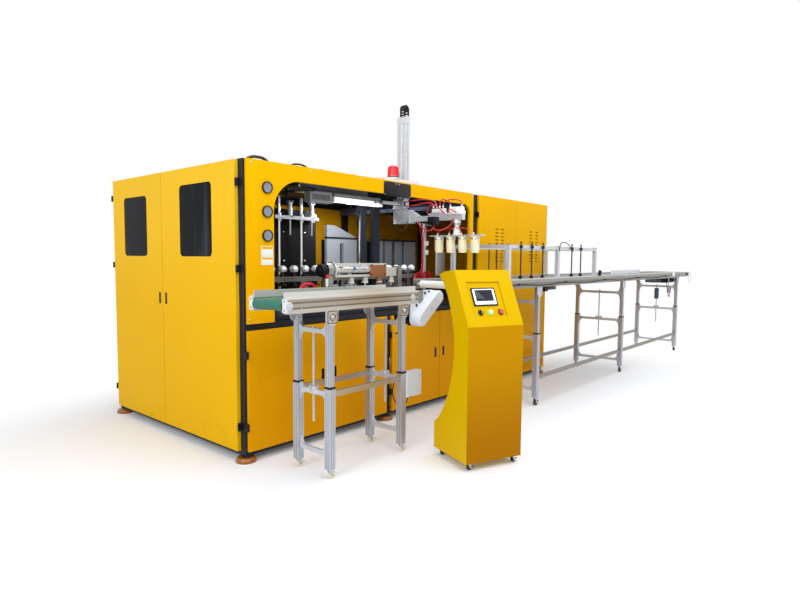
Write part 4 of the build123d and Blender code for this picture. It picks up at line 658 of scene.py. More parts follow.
grey_belting = belting("grey_belting", tone(92, 94, 96), 0.42, 180.0, 0.0004)
red_lens = moulded("red_beacon_lens", BEACON_RED, 0.16, 60.0, 0.0001, coat=0.6)
stop_cap = moulded("red_button_cap", tone(190, 24, 24), 0.3, coat=0.4)
red_hub = moulded("dark_red_hub", tone(120, 24, 26), 0.4)
dial_grey = moulded("grey_dial_face", tone(132, 140, 154), 0.3)
display_glass = moulded("display_glass", tone(18, 24, 44), 0.08, 30.0, 0.00001, specular=0.35)

# %% Dark glazing and the lit ring
glass_finish = Finish("dark_window_glazing", 0.16, specular=0.05)
streaks = glass_finish.noise(1.0, 2.0, (1.0, 7.0, 0.9)).ease(0.52, 0.8)
glass_finish.colour(glass_finish.mix(streaks * 0.6, tone(9, 11, 15), tone(62, 68, 80)))
glass_finish.rough(0.1 + 0.12 * streaks)
window_glass = glass_finish.material
glow_finish = Finish("lit_green_ring", 0.3)
glow_finish.colour(glow_finish.mix(glow_finish.noise(40.0), tone(60, 200, 60), tone(90, 220, 80)))
glow_finish.glow(glow_finish.mix(glow_finish.noise(30.0), tone(110, 240, 90), tone(130, 250, 110)), 0.5)
print("plastics ready")
# %% [markdown]
# ## Step 8: finish the CAD pieces
#
# Most CAD shapes are right as they are. Each gets the finish of its real material. A few files
# hold touching things of different colours, such as the beacon on its roof plate, so their
# finish picks the colour by place.

# %% Finishes of two colours
def by_zone(name, rough, base, zones, metal_base=0.0):
    """One finish that changes colour and metal inside stated boxes."""
    finish = Finish(name, rough)
    colour = finish.mix(finish.noise(6.0, 3.0), shaded(base, 0.95), shaded(base, 1.05))
    metal = None
    for limits, zone_colour, zone_metal in zones:
        mask = finish.inside(**limits)
        colour = finish.mix(mask, colour, zone_colour)
        change = mask * (zone_metal - metal_base)
        metal = change if metal is None else metal + change
    finish.colour(colour)
    finish.metal(metal + metal_base)
    finish.bump(finish.noise(400.0, 1.0), 0.0001, 0.4)
    return finish.material


beacon_zone = {"x": (1.60, 1.80), "y": (-0.1, 0.12), "z": (2.3275, 2.6)}
roof_finish = by_zone("roof_plate_and_beacon", 0.34, tone(214, 215, 216), [(beacon_zone, BEACON_RED, 0.0)])
oven_zones = [({"z": (1.7502, 1.7725)}, tone(22, 26, 40), 0.0)]
oven_finish = by_zone("oven_sheets", 0.42, tone(176, 184, 194), oven_zones, 0.3)
collar_zones = [({"z": (1.30, 1.4175)}, tone(22, 22, 24), 0.0)]
spindle_finish = by_zone("spindles_and_collars", 0.2, tone(232, 234, 238), collar_zones, 0.35)
drive_zones = [({"x": (0.70, 0.8802)}, tone(20, 20, 22), 0.0)]
drive_zones.append(({"x": (0.9452, 0.99)}, tone(212, 214, 218), 0.8))
drive_finish = by_zone("turn_over_drive", 0.34, tone(150, 150, 142), drive_zones, 0.7)
block_zones = [({"x": (1.4198, 1.6402), "z": (1.3, 1.485)}, tone(170, 112, 72), 0.9)]
swing_finish = by_zone("turn_over_beam", 0.3, tone(206, 204, 196), block_zones, 0.55)
wheel_zones = [({"x": (2.5, 9.0)}, BLACK_PARTS, 0.0)]
wheel_zones.append(({"x": (0.5, 2.4), "y": (-1.8, -0.86)}, BLACK_PARTS, 0.0))
wheel_finish = by_zone("caster_tyres", 0.45, WHEEL_CREAM, wheel_zones)
motor_zones = [({"y": (-0.76, -0.6302), "z": (1.14, 1.2422)}, tone(28, 28, 31), 0.2)]
drive_2_finish = by_zone("far_gearbox_and_motor", 0.42, tone(92, 104, 124), motor_zones, 0.1)
foot_zones = [({"z": (0.0440, 0.2)}, BLACK_PARTS, 0.3)]
foot_finish = by_zone("levelling_feet_and_plates", 0.3, tone(150, 92, 22), foot_zones)
hose_zones = [({"z": (1.0, 1.6)}, tone(200, 26, 32), 0.0)]
hose_finish = by_zone("roof_conduit_and_air_hoses", 0.34, RUBBER_BLACK, hose_zones)

# %% [markdown]
# The bottle guides are pale metal and the rods beside them are black. Both are in one file, so
# each rod gets a narrow zone round its place along the conveyor.

# %% Guide frame and rods
NEAR_RODS = (2.627, 2.851, 3.090, 3.795, 4.040)
FAR_RODS = (3.139, 3.300)
ROD_REACH = 0.008
rod_zones = []
for rod_xs, depth in ((NEAR_RODS, (-0.86, -0.8168)), (FAR_RODS, (-0.1435, -0.10))):
    rod_zones += [({"x": (x - ROD_REACH, x + ROD_REACH), "y": depth}, RUBBER_BLACK, 0.1) for x in rod_xs]
guide_finish = by_zone("guide_frame_and_rods", 0.42, tone(204, 208, 213), rod_zones, 0.5)

# %% [markdown]
# The cabinet's sheets are yellow outside, painted darker towards the bottom as painted shade.
# Inside, the lamp's light is painted onto the back wall as a brighter yellow, and the ceiling is
# dark blue. A second sheet could be put inside each, but masks by place do it too.

# %% Cabinet sheets and work lamp
cabinet_finish = Finish("cabinet_sheets_and_ceiling", 0.4, specular=0.04)
under_roof = cabinet_finish.inside(y=(-0.015, 2.16), z=(2.225, 2.2692))
# Painted shade darkens the sheets towards the bottom, and painted lamp light brightens the back wall.
shaded_sheet_yellow = cabinet_finish.mix(cabinet_finish.z.ease(0.2, 1.8), SHADED_LOW_YELLOW, YELLOW)
painted_lamp_light_mask = cabinet_finish.inside(x=(0.06, 3.0), y=(2.05, 2.1696), z=(0.9, 2.2))
painted_light_yellow = cabinet_finish.mix(painted_lamp_light_mask, shaded_sheet_yellow, tone(255, 184, 22))
cabinet_finish.colour(cabinet_finish.mix(under_roof, painted_light_yellow, tone(52, 60, 80)))
cabinet_finish.bump(cabinet_finish.noise(PEEL_GRAIN, 1.0), PEEL_DEPTH, 0.5)
lamp_finish = Finish("work_lamp_tube", 0.3)
tube_zone = lamp_finish.inside(x=(1.162, 1.808), z=(2.055, 2.1055))
lamp_finish.colour(lamp_finish.mix(tube_zone, tone(172, 176, 182), (0.9, 0.9, 0.9)))
lamp_finish.glow(lamp_finish.mix(tube_zone, (0.0, 0.0, 0.0), (1.0, 1.0, 0.98)), 0.9)

# %% Every CAD piece and its finish
finishes = (
    (black_paint, "machine_frame"),
    (cabinet_finish.material, "cabinet_panels"),
    (yellow_paint, "fascia_left fascia_right side_cabinet_door"),
    (yellow_paint, "lower_door_1 lower_door_2 lower_door_3 lower_door_4"),
    (end_door_sheen_paint, "front_end_door rear_end_door"),
    (console_paint, "console_body"),
    (window_glass, "front_end_window rear_end_window"),
    (black_plastic, "pressure_gauges door_hinges drag_chain console_screen selector_knob"),
    (foot_finish, "levelling_feet"),
    (roof_finish, "roof_plate"),
    (upright_metal, "lift_mast"),
    (bright_steel, "arm_servo stretch_platen tail_roller_1 drive_roller_1 drive_roller_2"),
    (cross_metal, "arm_beam gripper_plate"),
    (cream_plastic, "gripper_cups"),
    (hose_finish, "hoses_and_cables"),
    (polished_steel, "guide_columns"),
    (matt_black, "clamp_fixed clamp_moving"),
    (dull_rail_steel, "spindle_rail"),
    (spindle_finish, "spindles"),
    (oven_finish, "oven_housing"),
    (lamp_finish.material, "work_lamp"),
    (drive_finish, "transfer_drive"),
    (swing_finish, "transfer_beam"),
    (leg_metal, "stand_tubes deck_1_legs deck_2_legs"),
    (cast_alloy, "stand_braces deck_1_braces deck_2_braces"),
    (zinc_steel, "caster_forks"),
    (wheel_finish, "caster_wheels"),
    (guard_paint, "control_box deck_1_guard"),
    (rail_1_metal, "deck_1_rails"),
    (green_belting, "deck_1_belt"),
    (rail_2_metal, "deck_2_rails"),
    (grey_belting, "deck_2_belt"),
    (guide_finish, "deck_2_guides"),
    (drive_2_finish, "deck_2_motor"),
    (hose_black, "deck_2_cable"),
    (white_plastic, "tail_roller_2 start_button"),
    (stop_cap, "stop_button"),
)
finished = 0
for finish, names in finishes:
    for node_name in names.split():
        slots = nodes[node_name].material_slots
        if not slots:
            nodes[node_name].data.materials.append(finish)
        for one_slot in slots:
            one_slot.link = "OBJECT"
            one_slot.material = finish
        finished += 1
print("finished CAD pieces", finished, "of", len(nodes))
# %% [markdown]
# ## Step 9: screws, and a pressed cup
#
# Button-head screws hold the sheets, and black cups line the finger pulls. A screw could be a
# bought model. It is spun here from a chain of six points, which gives the domed head and the
# socket in it. A cup is a flat piece whose front face is inset and then pushed back.

# %% Screws and cups
def screw_heads(places, direction, radius, height, name, finish, body="machine"):
    """Button-head screws with a socket, standing on places along direction."""
    profile = [
        (0, height * 0.35),
        (radius * 0.42, height * 0.35),
        (radius * 0.5, height),
        (radius * 0.8, height * 0.8),
        (radius, height * 0.3),
        (radius, -0.0002),
    ]
    fit_copies(name, finish, turned(profile, 18), places, direction, body)


def dished(outline, place, across, outward, thickness, rim, depth):
    """A cup: a flat piece whose outward face is pressed in behind a rim."""
    outward = Vector(outward).normalized()
    cup = plate(outline, place, across, outward, thickness, 0)
    bpy.ops.object.mode_set(mode="EDIT")
    bpy.ops.mesh.select_mode(type="FACE")
    bpy.ops.mesh.select_all(action="DESELECT")
    bpy.ops.object.mode_set(mode="OBJECT")
    front = max(outward.dot(face.center) for face in cup.data.polygons)
    for face in cup.data.polygons:
        face.select = outward.dot(face.center) > front - 0.00001
    bpy.ops.object.mode_set(mode="EDIT")
    bpy.ops.mesh.inset(thickness=rim, depth=0)
    bpy.ops.mesh.extrude_region_move(TRANSFORM_OT_translate={"value": -outward * depth})
    bpy.ops.mesh.select_mode(type="VERT")
    bpy.ops.mesh.select_all(action="SELECT")
    bpy.ops.mesh.normals_make_consistent(inside=False)
    bpy.ops.object.mode_set(mode="OBJECT")
    soften(cup, 0.0006)
    return settle(cup)


# %% Screws of the fascia
SCREW_HIGH = 2.244
SCREW_LOW = 1.085
FASCIA_END = 2.935
front_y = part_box("fascia_right")[0][1]
fascia_spots = [(0.058, -0.0273, SCREW_HIGH), (0.035, -0.0262, SCREW_LOW)]
fascia_spots += [(x, front_y, SCREW_HIGH) for x in (0.62, 1.20, 1.66, 1.70, 2.30, FASCIA_END)]
fascia_spots.append((FASCIA_END, front_y, SCREW_LOW))
screw_heads(fascia_spots, FRONT, 0.0075, 0.0045, "fascia_screws", zinc_steel)
print("front face at", round(front_y, 4))

# %% [markdown]
# ## Step 10: finger pulls and hinges
#
# Every door has a recess for a black pull. A loose handle could be put on top, but the real
# pull is a cup clipped into the sheet with a small lever inside it, so that is what is made,
# and each one rides on its door. The hinges get their barrels, three knuckles on a pin.

# %% Finger pulls
def finger_pull(place, across, outward, door):
    """A clipped-in cup with its lever."""
    outward = Vector(outward)
    cup = dished(rounded(0.0310, 0.0990, 0.0055), place, across, outward, 0.0125, 0.003, 0.009)
    floor = Vector(place) + outward * 0.0035
    lever = plate(rounded(0.019, 0.052, 0.003), floor, across, outward, 0.006, 0.0015)
    lever.data.transform(Matrix.Translation((0, 0, 0.012)))
    fit(door + "_pull", black_plastic, [cup, lever], door)


for number, x in enumerate((0.746, 0.884, 2.302, 2.440), 1):
    finger_pull((x, front_y + 0.0119, 0.572), RIGHT, FRONT, "lower_door_" + str(number))
for door, y in (("front_end_door", 1.116), ("rear_end_door", 1.224)):
    finger_pull((-0.0181, y, 1.190), FRONT, LEFT, door)

# %% Hinge barrels and their screws
BARREL = 0.0052
PIN = 0.0046
HALF = 0.0280
lower_half = [(0, -HALF), (PIN, -HALF), (BARREL, -0.0274), (BARREL, -0.0098)]
lower_half += [(PIN, -0.0095), (PIN, -0.0089), (BARREL, -0.0086)]
knuckles = lower_half + [(radius, -height) for radius, height in reversed(lower_half)]
LEAF = 0.009
KNUCKLE_STEP = 0.0215
SCREW_STEPS = (-0.018, 0.018)
door_edges = [(3.085, -1, z) for z in (2.050, 1.150, 0.400)]
for x, toward in ((0.018, -1), (1.548, 1), (1.622, -1), (2.965, 1)):
    door_edges += [(x, toward, z) for z in (0.820, 0.270)]
barrel_spots = []
leaf_screws = []
for x, toward, z in door_edges:
    barrel_spots.append((x + toward * KNUCKLE_STEP, front_y - 0.0036, z))
    leaf_screws += [(x + toward * LEAF, front_y, z + step) for step in SCREW_STEPS]
end_screws = []
for y, toward in ((0.060, -1), (2.120, 1)):
    for z in (2.100, 1.465, 0.270):
        barrel_spots.append((-0.0336, y + toward * KNUCKLE_STEP, z))
        end_screws += [(-0.030, y + toward * LEAF, z + step) for step in SCREW_STEPS]
fit_copies("hinge_barrels", black_plastic, turned(knuckles, 16), barrel_spots)
screw_heads(leaf_screws, FRONT, 0.0038, 0.0018, "hinge_screws_front", dark_steel)
screw_heads(end_screws, LEFT, 0.0038, 0.0018, "hinge_screws_end", dark_steel)
print("hinges", len(barrel_spots))

# %% [markdown]
# ## Step 11: pressure gauges
#
# Three gauges sit on the fascia, each a black cup with a grey dial. The dial could be an image.
# It is built instead: a disc, short bars set round it for the scale, and a tapered needle on a
# hub, so it stays sharp at any distance.

# %% Dials and scales
GAUGE_RADIUS = 0.045
MARKS = 31
gauge_low, gauge_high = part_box("pressure_gauges")
gauge_x = (gauge_low[0] + gauge_high[0]) / 2
gauge_floor = gauge_low[1] + 0.004
gauge_zs = (gauge_high[2] - GAUGE_RADIUS, 1.893, gauge_low[2] + GAUGE_RADIUS)
disc = turned([(0, 0.0010), (0.0372, 0.0010), (0.0380, 0.0004), (0.0380, -0.0002)], 40)
fit_copies("gauge_dials", dial_grey, disc, [(gauge_x, gauge_floor, z) for z in gauge_zs], FRONT)
marks = []
for z in gauge_zs:
    for step in range(MARKS):
        angle = radians(225 - 9 * step)
        long_mark = step % 5 == 0
        outer = 0.0345
        inner = 0.0265 if long_mark else 0.0300
        middle = (inner + outer) / 2
        mark = moved((gauge_x + middle * cos(angle), gauge_floor - 0.0011, z + middle * sin(angle)))
        size = Matrix.Diagonal((outer - inner, 0.0006, 0.0016 if long_mark else 0.0009, 1))
        marks.append(mark @ Matrix.Rotation(-angle, 4, "Y") @ size)
unit = slab((0, 0, 0), (1, 1, 1), 0)
dress(copies(unit, marks, "gauge_scales"), black_plastic)

# %% Needles and rims
needle_outline = [(-0.009, -0.0016), (0.030, -0.0004), (0.030, 0.0004), (-0.009, 0.0016)]
hub_profile = [(0, 0.0028), (0.0030, 0.0028), (0.0036, 0.0020), (0.0036, 0.0006)]
needles = []
for z, turn in zip(gauge_zs, (118, 64, 196)):
    angle = radians(turn)
    points = [(a * cos(angle) - b * sin(angle), a * sin(angle) + b * cos(angle)) for a, b in needle_outline]
    needles.append(plate(points, (gauge_x, gauge_floor - 0.0018, z), RIGHT, FRONT, 0.0008, 0))
    needles.append(turned(hub_profile, 16, (gauge_x, gauge_floor, z), FRONT))
fit("gauge_needles", hose_red, needles)
rim = turned([(0.0415, 0.0004), (0.0418, 0.0016), (0.0432, 0.0021), (0.0446, 0.0016), (0.0449, 0.0004)], 40)
fit_copies("gauge_rims", black_plastic, rim, [(gauge_x, gauge_low[1], z) for z in gauge_zs], FRONT)
print("dial marks", len(marks))

# %% [markdown]
# ## Step 12: the sign and the notices
#
# A black sign hangs over the seam of the fascia and two notices sit under the gauges. They
# could carry copied lettering, but nobody's words belong in a shared model, so the plates are
# left bare. Their round corners, screws and coloured band are kept.

# %% Plates without lettering
SIGN_X, SIGN_Z = 1.6805, 2.193
NOTICE_X = 0.189
sign = plate(rounded(0.387, 0.134, 0.006), (SIGN_X, front_y, SIGN_Z), RIGHT, FRONT, 0.003, 0.0007)
fit("name_plate", black_plastic, [sign])
sign_screws = [(x, front_y - 0.003, z) for x in (1.500, 1.861) for z in (SIGN_Z - 0.054, SIGN_Z + 0.054)]
screw_heads(sign_screws, FRONT, 0.0045, 0.0022, "name_plate_screws", zinc_steel)
notices = []
bands = []
for height, z, band_height, band_z in ((0.081, 1.5935, 0.020, 1.6205), (0.0605, 1.5217, 0.015, 1.5410)):
    notices.append(plate(rounded(0.108, height, 0.004), (NOTICE_X, front_y, z), RIGHT, FRONT, 0.0012, 0.0003))
    band_place = (NOTICE_X, front_y - 0.0011, band_z)
    bands.append(plate(rounded(0.100, band_height, 0.001), band_place, RIGHT, FRONT, 0.0004, 0))
fit("notice_plates", white_plastic, notices)
fit("notice_bands", yellow_paint, bands)

# %% [markdown]
# ## Step 13: the roof
#
# The beacon's lens has moulded ribs that scatter its light, and a black collar. Two rubber plugs
# close holes along the roof's edge. Ribs could be painted as a texture, but the outline of the
# lens shows them, so a rib is made once and set round the lens.

# %% Beacon and roof plugs
BEACON_X, BEACON_Y = 1.705, 0.048
RIBS = 24
lens_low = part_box("roof_plate")[1][2] - 0.098
rib_outline = [(0.0530, 0.001), (0.0556, 0.001), (0.0512, 0.083), (0.0478, 0.083)]
rib = plate(rib_outline, (0, 0, lens_low), RIGHT, FRONT, 0.0026, 0)
rib.data.transform(Matrix.Translation((0, 0.0013, 0)))
beacon = moved((BEACON_X, BEACON_Y, 0))
rib_turns = [beacon @ Matrix.Rotation(2 * pi * step / RIBS, 4, "Z") for step in range(RIBS)]
dress(copies(rib, rib_turns, "beacon_ribs"), red_lens)
collar_rim = [(0.0592, -0.001), (0.0600, 0.001), (0.0600, 0.006), (0.0585, 0.008)]
collar_profile = [(0.0540, -0.001), *collar_rim, (0.0540, 0.008)]
fit("beacon_collar", black_plastic, [turned(collar_profile, 48, (BEACON_X, BEACON_Y, lens_low - 0.010))])
plug_side = [(0.009, 0.011), (0.012, 0.007), (0.012, 0.002), (0.015, 0.0)]
plug = turned([(0, 0.012), *plug_side, (0.015, -0.0005)], 24)
fit_copies("roof_plugs", plug_rubber, plug, [(x, 0.020, 2.270) for x in (0.769, 1.150)])
print("roof done")
# %% [markdown]
# ## Step 14: fittings and air tubes
#
# The arm is fed by red air tubes. Each ends in a push-in fitting: a body with a hexagon, and a
# round release collar. A tube could be bent from straight and curved pieces. A smooth curve
# through a few control points, given a round section, hangs more like a real tube.

# %% Push-in fittings, held tubes and bolts
def fittings(spots, name, body, finish, collar_finish):
    """Push-in fittings at (place, direction) spots, in two pieces: bodies and collars."""
    base = [
        (0, -0.0005), (0.0070, -0.0005), (0.0070, 0.0050), (0.0062, 0.0056), (0.0062, 0.0190),
        (0.0052, 0.0200), (0, 0.0200),
    ]
    ring = [(0, 0.0195), (0.0052, 0.0195), (0.0060, 0.0215), (0.0060, 0.0235), (0.0048, 0.0245), (0, 0.0245)]
    matrices = [moved(place) @ aim(direction) for place, direction in spots]
    dress(copies(turned(base, 6), matrices, name + "_bodies"), finish, body)
    dress(copies(turned(ring, 16), matrices, name + "_collars"), collar_finish, body)


def bundle(routes, radius, name, finish, body="machine"):
    """Several held tubes of one kind as one piece."""
    fit(name, finish, [tube(route, radius) for route in routes], body)


def bolts(places, direction, radius, height, name, finish, body="machine"):
    """Hexagon bolt heads with a washer under each."""
    rim = radius * 1.45
    washer = turned([(0, -0.0002), (rim, -0.0002), (rim, height * 0.25), (0, height * 0.25)], 20)
    flank = [(radius, height * 0.2), (radius, height * 0.85), (radius * 0.86, height)]
    head = turned([(0, height * 0.2), *flank, (0, height)], 6)
    fit_copies(name, finish, joined([washer, head], "bolt"), places, direction, body)


print("fittings ready")

# %% [markdown]
# ## Step 15: the take-out arm
#
# The CAD arm has the mast, the drilled bracket, the tapered gusset and the beam. On the real
# one a valve manifold and a rotary actuator sit on the beam, and tubes cross over them. Both
# are blocks with softened edges, cut by nothing, so bevelled boxes are the honest way.

# %% Manifold, valves and actuator
arm = "take_out_arm"
ARM_X = 1.910
VALVE_STEP = 0.038
valve_ys = [-0.407 + VALVE_STEP * step for step in range(4)]
manifold = [
    block((1.889, -0.455, 1.9548), (1.931, -0.245, 1.9750)),
    block((1.884, -0.430, 1.9745), (1.936, -0.270, 1.9830), 0.0015),
]
fit("arm_manifold", cross_metal, manifold, arm)
valves = [slab((ARM_X, y, 2.00025), (0.040, 0.030, 0.0355), 0.003) for y in valve_ys]
fit("arm_valves", white_plastic, valves, arm)
caps = [slab((ARM_X, y, 2.021), (0.030, 0.020, 0.007), 0.0015) for y in valve_ys]
fit("arm_valve_caps", black_plastic, caps, arm)
SWIVEL_Y = -0.555
actuator = [
    block((1.872, -0.628, 1.9545), (1.948, -0.485, 1.992), 0.004),
    drum((ARM_X, -0.628, 2.006), BACK, 0.021, 0.150, 0.003),
    drum((ARM_X, SWIVEL_Y, 1.990), UP, 0.030, 0.034, 0.003),
]
fit("arm_rotary_actuator", white_plastic, actuator, arm)
collar_rim = [(0.0340, 0.0), (0.0355, 0.002), (0.0355, 0.010), (0.0340, 0.012)]
collar_profile = [(0.0235, 0.0), *collar_rim, (0.0245, 0.012)]
fit("swivel_collar", bright_steel, [turned(collar_profile, 40, (ARM_X, SWIVEL_Y, 1.8590))], arm)

# %% Side cylinder, servo and solenoid
servo_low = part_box("arm_servo")[0]
cylinder_z = servo_low[2] + 0.044
cylinder = []
for x in (servo_low[0] - 0.001, 1.845):
    cylinder.append(block((x, 0.088, cylinder_z - 0.004), (x + 0.020, 0.136, cylinder_z + 0.034)))
cylinder.append(drum((servo_low[0] - 0.060, 0.112, cylinder_z + 0.015), RIGHT, 0.008, 0.062, 0.001, 20))
clevis_low = (servo_low[0] - 0.084, 0.098, cylinder_z + 0.002)
cylinder.append(block(clevis_low, (servo_low[0] - 0.052, 0.126, cylinder_z + 0.028), 0.003))
fit("side_cylinder_ends", bright_steel, cylinder, arm)
fit("servo_window", black_plastic, [block((1.878, 0.0585, 2.064), (1.902, 0.0605, 2.108), 0.0008)], arm)
SERVO_BOLT_ZS = (2.030, 2.120)
servo_bolts = [(x, 0.060, z) for x in (1.872, 1.948) for z in SERVO_BOLT_ZS]
screw_heads(servo_bolts, FRONT, 0.0045, 0.0035, "servo_bolts", dark_steel, arm)
side_bolts = [(1.866, y, z) for y in (0.072, 0.178) for z in SERVO_BOLT_ZS]
screw_heads(side_bolts, LEFT, 0.0045, 0.0035, "servo_side_bolts", dark_steel, arm)
bracket_bolts = [(1.870, y, z) for y in (0.000, 0.170) for z in (1.905, 2.008)]
bolts(bracket_bolts, LEFT, 0.006, 0.006, "bracket_bolts", zinc_steel, arm)
fit("mast_rail", polished_steel, [block((1.8765, 0.092, 2.140), (1.8805, 0.104, 2.855), 0.0006)], arm)
solenoid = [
    block((1.808, -0.372, 1.866), (1.8855, -0.292, 1.938), 0.003),
    drum((1.826, -0.350, 1.850), UP, 0.011, 0.020, 0.001, 16),
    drum((1.862, -0.314, 1.850), UP, 0.011, 0.020, 0.001, 16),
    drum((1.800, -0.332, 1.902), RIGHT, 0.014, 0.012, 0.001, 20),
]
fit("arm_solenoid", black_plastic, solenoid, arm)
print("arm body done")

# %% Air tubes of the arm
arm_spots = [((1.897, y, 2.0240), UP) for y in valve_ys]
arm_spots += [((1.889, y, 1.966), LEFT) for y in (-0.448, -0.252)]
arm_spots += [((1.895, y, 2.0255), UP) for y in (-0.620, -0.492)]
arm_spots += [((1.872, y, 1.974), LEFT) for y in (-0.585, -0.520)]
fittings(arm_spots, "arm_fittings", arm, white_plastic, hose_red)
routes = [
    [
        (1.897, -0.407, 2.042), (1.897, -0.412, 2.078), (1.893, -0.470, 2.094), (1.890, -0.560, 2.090),
        (1.895, -0.620, 2.074), (1.895, -0.620, 2.044),
    ],
    [
        (1.897, -0.369, 2.042), (1.897, -0.365, 2.084), (1.890, -0.410, 2.102), (1.888, -0.470, 2.084),
        (1.893, -0.492, 2.068), (1.895, -0.492, 2.044),
    ],
    [
        (1.897, -0.331, 2.042), (1.897, -0.328, 2.082), (1.885, -0.250, 2.106), (1.872, -0.130, 2.112),
        (1.874, -0.030, 2.106), (1.882, 0.030, 2.098), (1.890, 0.062, 2.090),
    ],
    [
        (1.897, -0.293, 2.042), (1.897, -0.288, 2.070), (1.890, -0.220, 2.082), (1.880, -0.110, 2.062),
        (1.884, -0.010, 2.058), (1.890, 0.062, 2.062),
    ],
    [
        (1.871, -0.448, 1.966), (1.840, -0.452, 1.968), (1.816, -0.430, 2.010), (1.806, -0.360, 2.052),
        (1.818, -0.290, 2.030), (1.844, -0.256, 1.976), (1.871, -0.252, 1.966),
    ],
    [
        (1.854, -0.585, 1.974), (1.822, -0.590, 1.974), (1.806, -0.560, 1.998), (1.806, -0.540, 1.998),
        (1.822, -0.515, 1.974), (1.854, -0.520, 1.974),
    ],
    [
        (1.826, -0.350, 1.840), (1.824, -0.356, 1.812), (1.846, -0.430, 1.812), (1.862, -0.500, 1.842),
        (1.872, -0.530, 1.880), (1.874, -0.540, 1.920),
    ],
    [
        (1.862, -0.314, 1.840), (1.862, -0.300, 1.806), (1.850, -0.240, 1.818), (1.846, -0.170, 1.860),
        (1.860, -0.120, 1.905),
    ],
]
bundle(routes, 0.0056, "arm_air_tubes", hose_red, arm)
black_routes = [
    [
        (1.905, -0.255, 1.992), (1.905, -0.225, 2.010), (1.925, -0.140, 1.985), (1.935, -0.040, 2.005),
        (1.930, 0.030, 2.030), (1.925, 0.061, 2.050),
    ],
    [
        (1.700, 0.112, 2.060), (1.694, 0.110, 2.010), (1.722, 0.104, 1.918), (1.800, 0.098, 1.836),
        (1.884, 0.096, 1.820), (1.960, 0.098, 1.850), (2.020, 0.100, 1.930), (2.010, 0.100, 2.050),
        (1.980, 0.100, 2.120), (1.978, 0.100, 2.150),
    ],
]
bundle(black_routes, 0.0050, "arm_black_cables", hose_black, arm)
print("arm tubes", len(routes) + len(black_routes))

# %% [markdown]
# ## Step 16: the gripper
#
# Four cream cups hang under the plate and inflate round the bottle necks. Each has a clamp ring
# at its top, a lip at its mouth and an air fitting above it. The rings are spun round the cup's
# own axis, so that they sit on the CAD cup without a gap.

# %% Gripper rings and flanges
CUP_STEP = 0.1343
cup_low, cup_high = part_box("gripper_cups")
cup_x = (cup_low[0] + cup_high[0]) / 2
cup_ys = [-0.355 - CUP_STEP * step for step in range(4)]
cup_spots = [(cup_x, y, cup_high[2]) for y in cup_ys]
band = [(0.0425, -0.0295), (0.0430, -0.0280), (0.0430, -0.0200), (0.0425, -0.0185)]
ring = turned([(0.0400, -0.0300), *band, (0.0400, -0.0180)], 36)
fit_copies("cup_clamp_rings", zinc_steel, ring, cup_spots, UP, "gripper")
flange_profile = [(0.0400, -0.0105), (0.0440, -0.0100), (0.0448, -0.0085), (0.0448, -0.0005), (0.0400, 0.0)]
lip_profile = [(0.0345, -0.1500), (0.0362, -0.1512), (0.0370, -0.1480), (0.0366, -0.1440), (0.0352, -0.1430)]
flange = joined([turned(flange_profile, 36), turned(lip_profile, 36)], "flange")
fit_copies("cup_flanges", cream_plastic, flange, cup_spots, UP, "gripper")

# %% Gripper fittings, bolts and tubes
FITTING_X = 1.885
plate_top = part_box("gripper_plate")[0][2] + 0.010
cup_fittings = [((FITTING_X, y, plate_top), UP) for y in cup_ys]
fittings(cup_fittings, "gripper_fittings", "gripper", white_plastic, hose_red)
gripper_bolts = [(x, y + step, plate_top) for y in cup_ys for x in (1.900, 1.928) for step in (-0.026, 0.026)]
bolts(gripper_bolts, UP, 0.0045, 0.004, "gripper_bolts", zinc_steel, "gripper")
gripper_routes = []
for y in cup_ys:
    start = (FITTING_X, y, plate_top + 0.018)
    halfway = (1.884, y + (SWIVEL_Y - y) * 0.1, plate_top + 0.052)
    end = (1.886, SWIVEL_Y + (y - SWIVEL_Y) * 0.12, plate_top + 0.070)
    gripper_routes.append([start, halfway, end])
bundle(gripper_routes, 0.0032, "gripper_air_tubes", hose_red, "gripper")
hub_base = [(0.0240, 0.0), (0.0330, 0.0), (0.0345, 0.0015), (0.0345, 0.0150)]
hub_neck = [(0.0300, 0.0170), (0.0285, 0.060), (0.0240, 0.062)]
fit("gripper_hub", white_plastic, [turned(hub_base + hub_neck, 36, (cup_x, SWIVEL_Y, plate_top))], "gripper")
print("gripper done")
# %% [markdown]
# ## Step 17: behind the opening
#
# The open front shows the drives of the real machine: pneumatic valves, red hoses, a spindle
# gearbox and cables under the roof. None of them carries load in the CAD model, so they are
# made here, each set on the bed, the frame or the roof beam that would hold it.

# %% Roof beam, cables and lamp
BED_SEAT = 1.0798
fit("roof_beam", blue_grey_paint, [block((2.930, 0.066, 2.115), (2.985, 2.084, 2.206), 0.003)])
hangers = [block((2.945, y, 2.204), (2.970, y + 0.030, 2.252)) for y in (0.30, 1.10, 1.90)]
fit("roof_beam_hangers", blue_grey_paint, hangers)
fit("post_rail", polished_steel, [block((1.7005, 0.505, 1.480), (1.7262, 0.530, 1.985))])
roof_routes = []
for step in range(6):
    y = 0.235 + 0.018 * step
    z = 2.176 - 0.004 * (step % 3)
    sag = [(0.330, y + 0.006, z - 0.018), (0.560, y - 0.008, z - 0.034), (0.760, y + 0.004, z - 0.014)]
    roof_routes.append([(0.120, y, z), *sag, (0.900, y, z - 0.036)])
roof_routes += [
    [
        (0.330, 0.225, 2.168), (0.360, 0.235, 2.060), (0.420, 0.300, 1.990), (0.520, 0.380, 2.020),
        (0.640, 0.470, 2.110),
    ],
    [
        (0.470, 0.232, 2.150), (0.520, 0.240, 2.070), (0.620, 0.300, 2.050), (0.720, 0.400, 2.120),
        (0.760, 0.480, 2.190),
    ],
]
bundle(roof_routes, 0.0070, "roof_cables", hose_black)
clips = [block((x, 0.222, 2.150), (x + 0.016, 0.338, 2.2105)) for x in (0.160, 0.420, 0.700)]
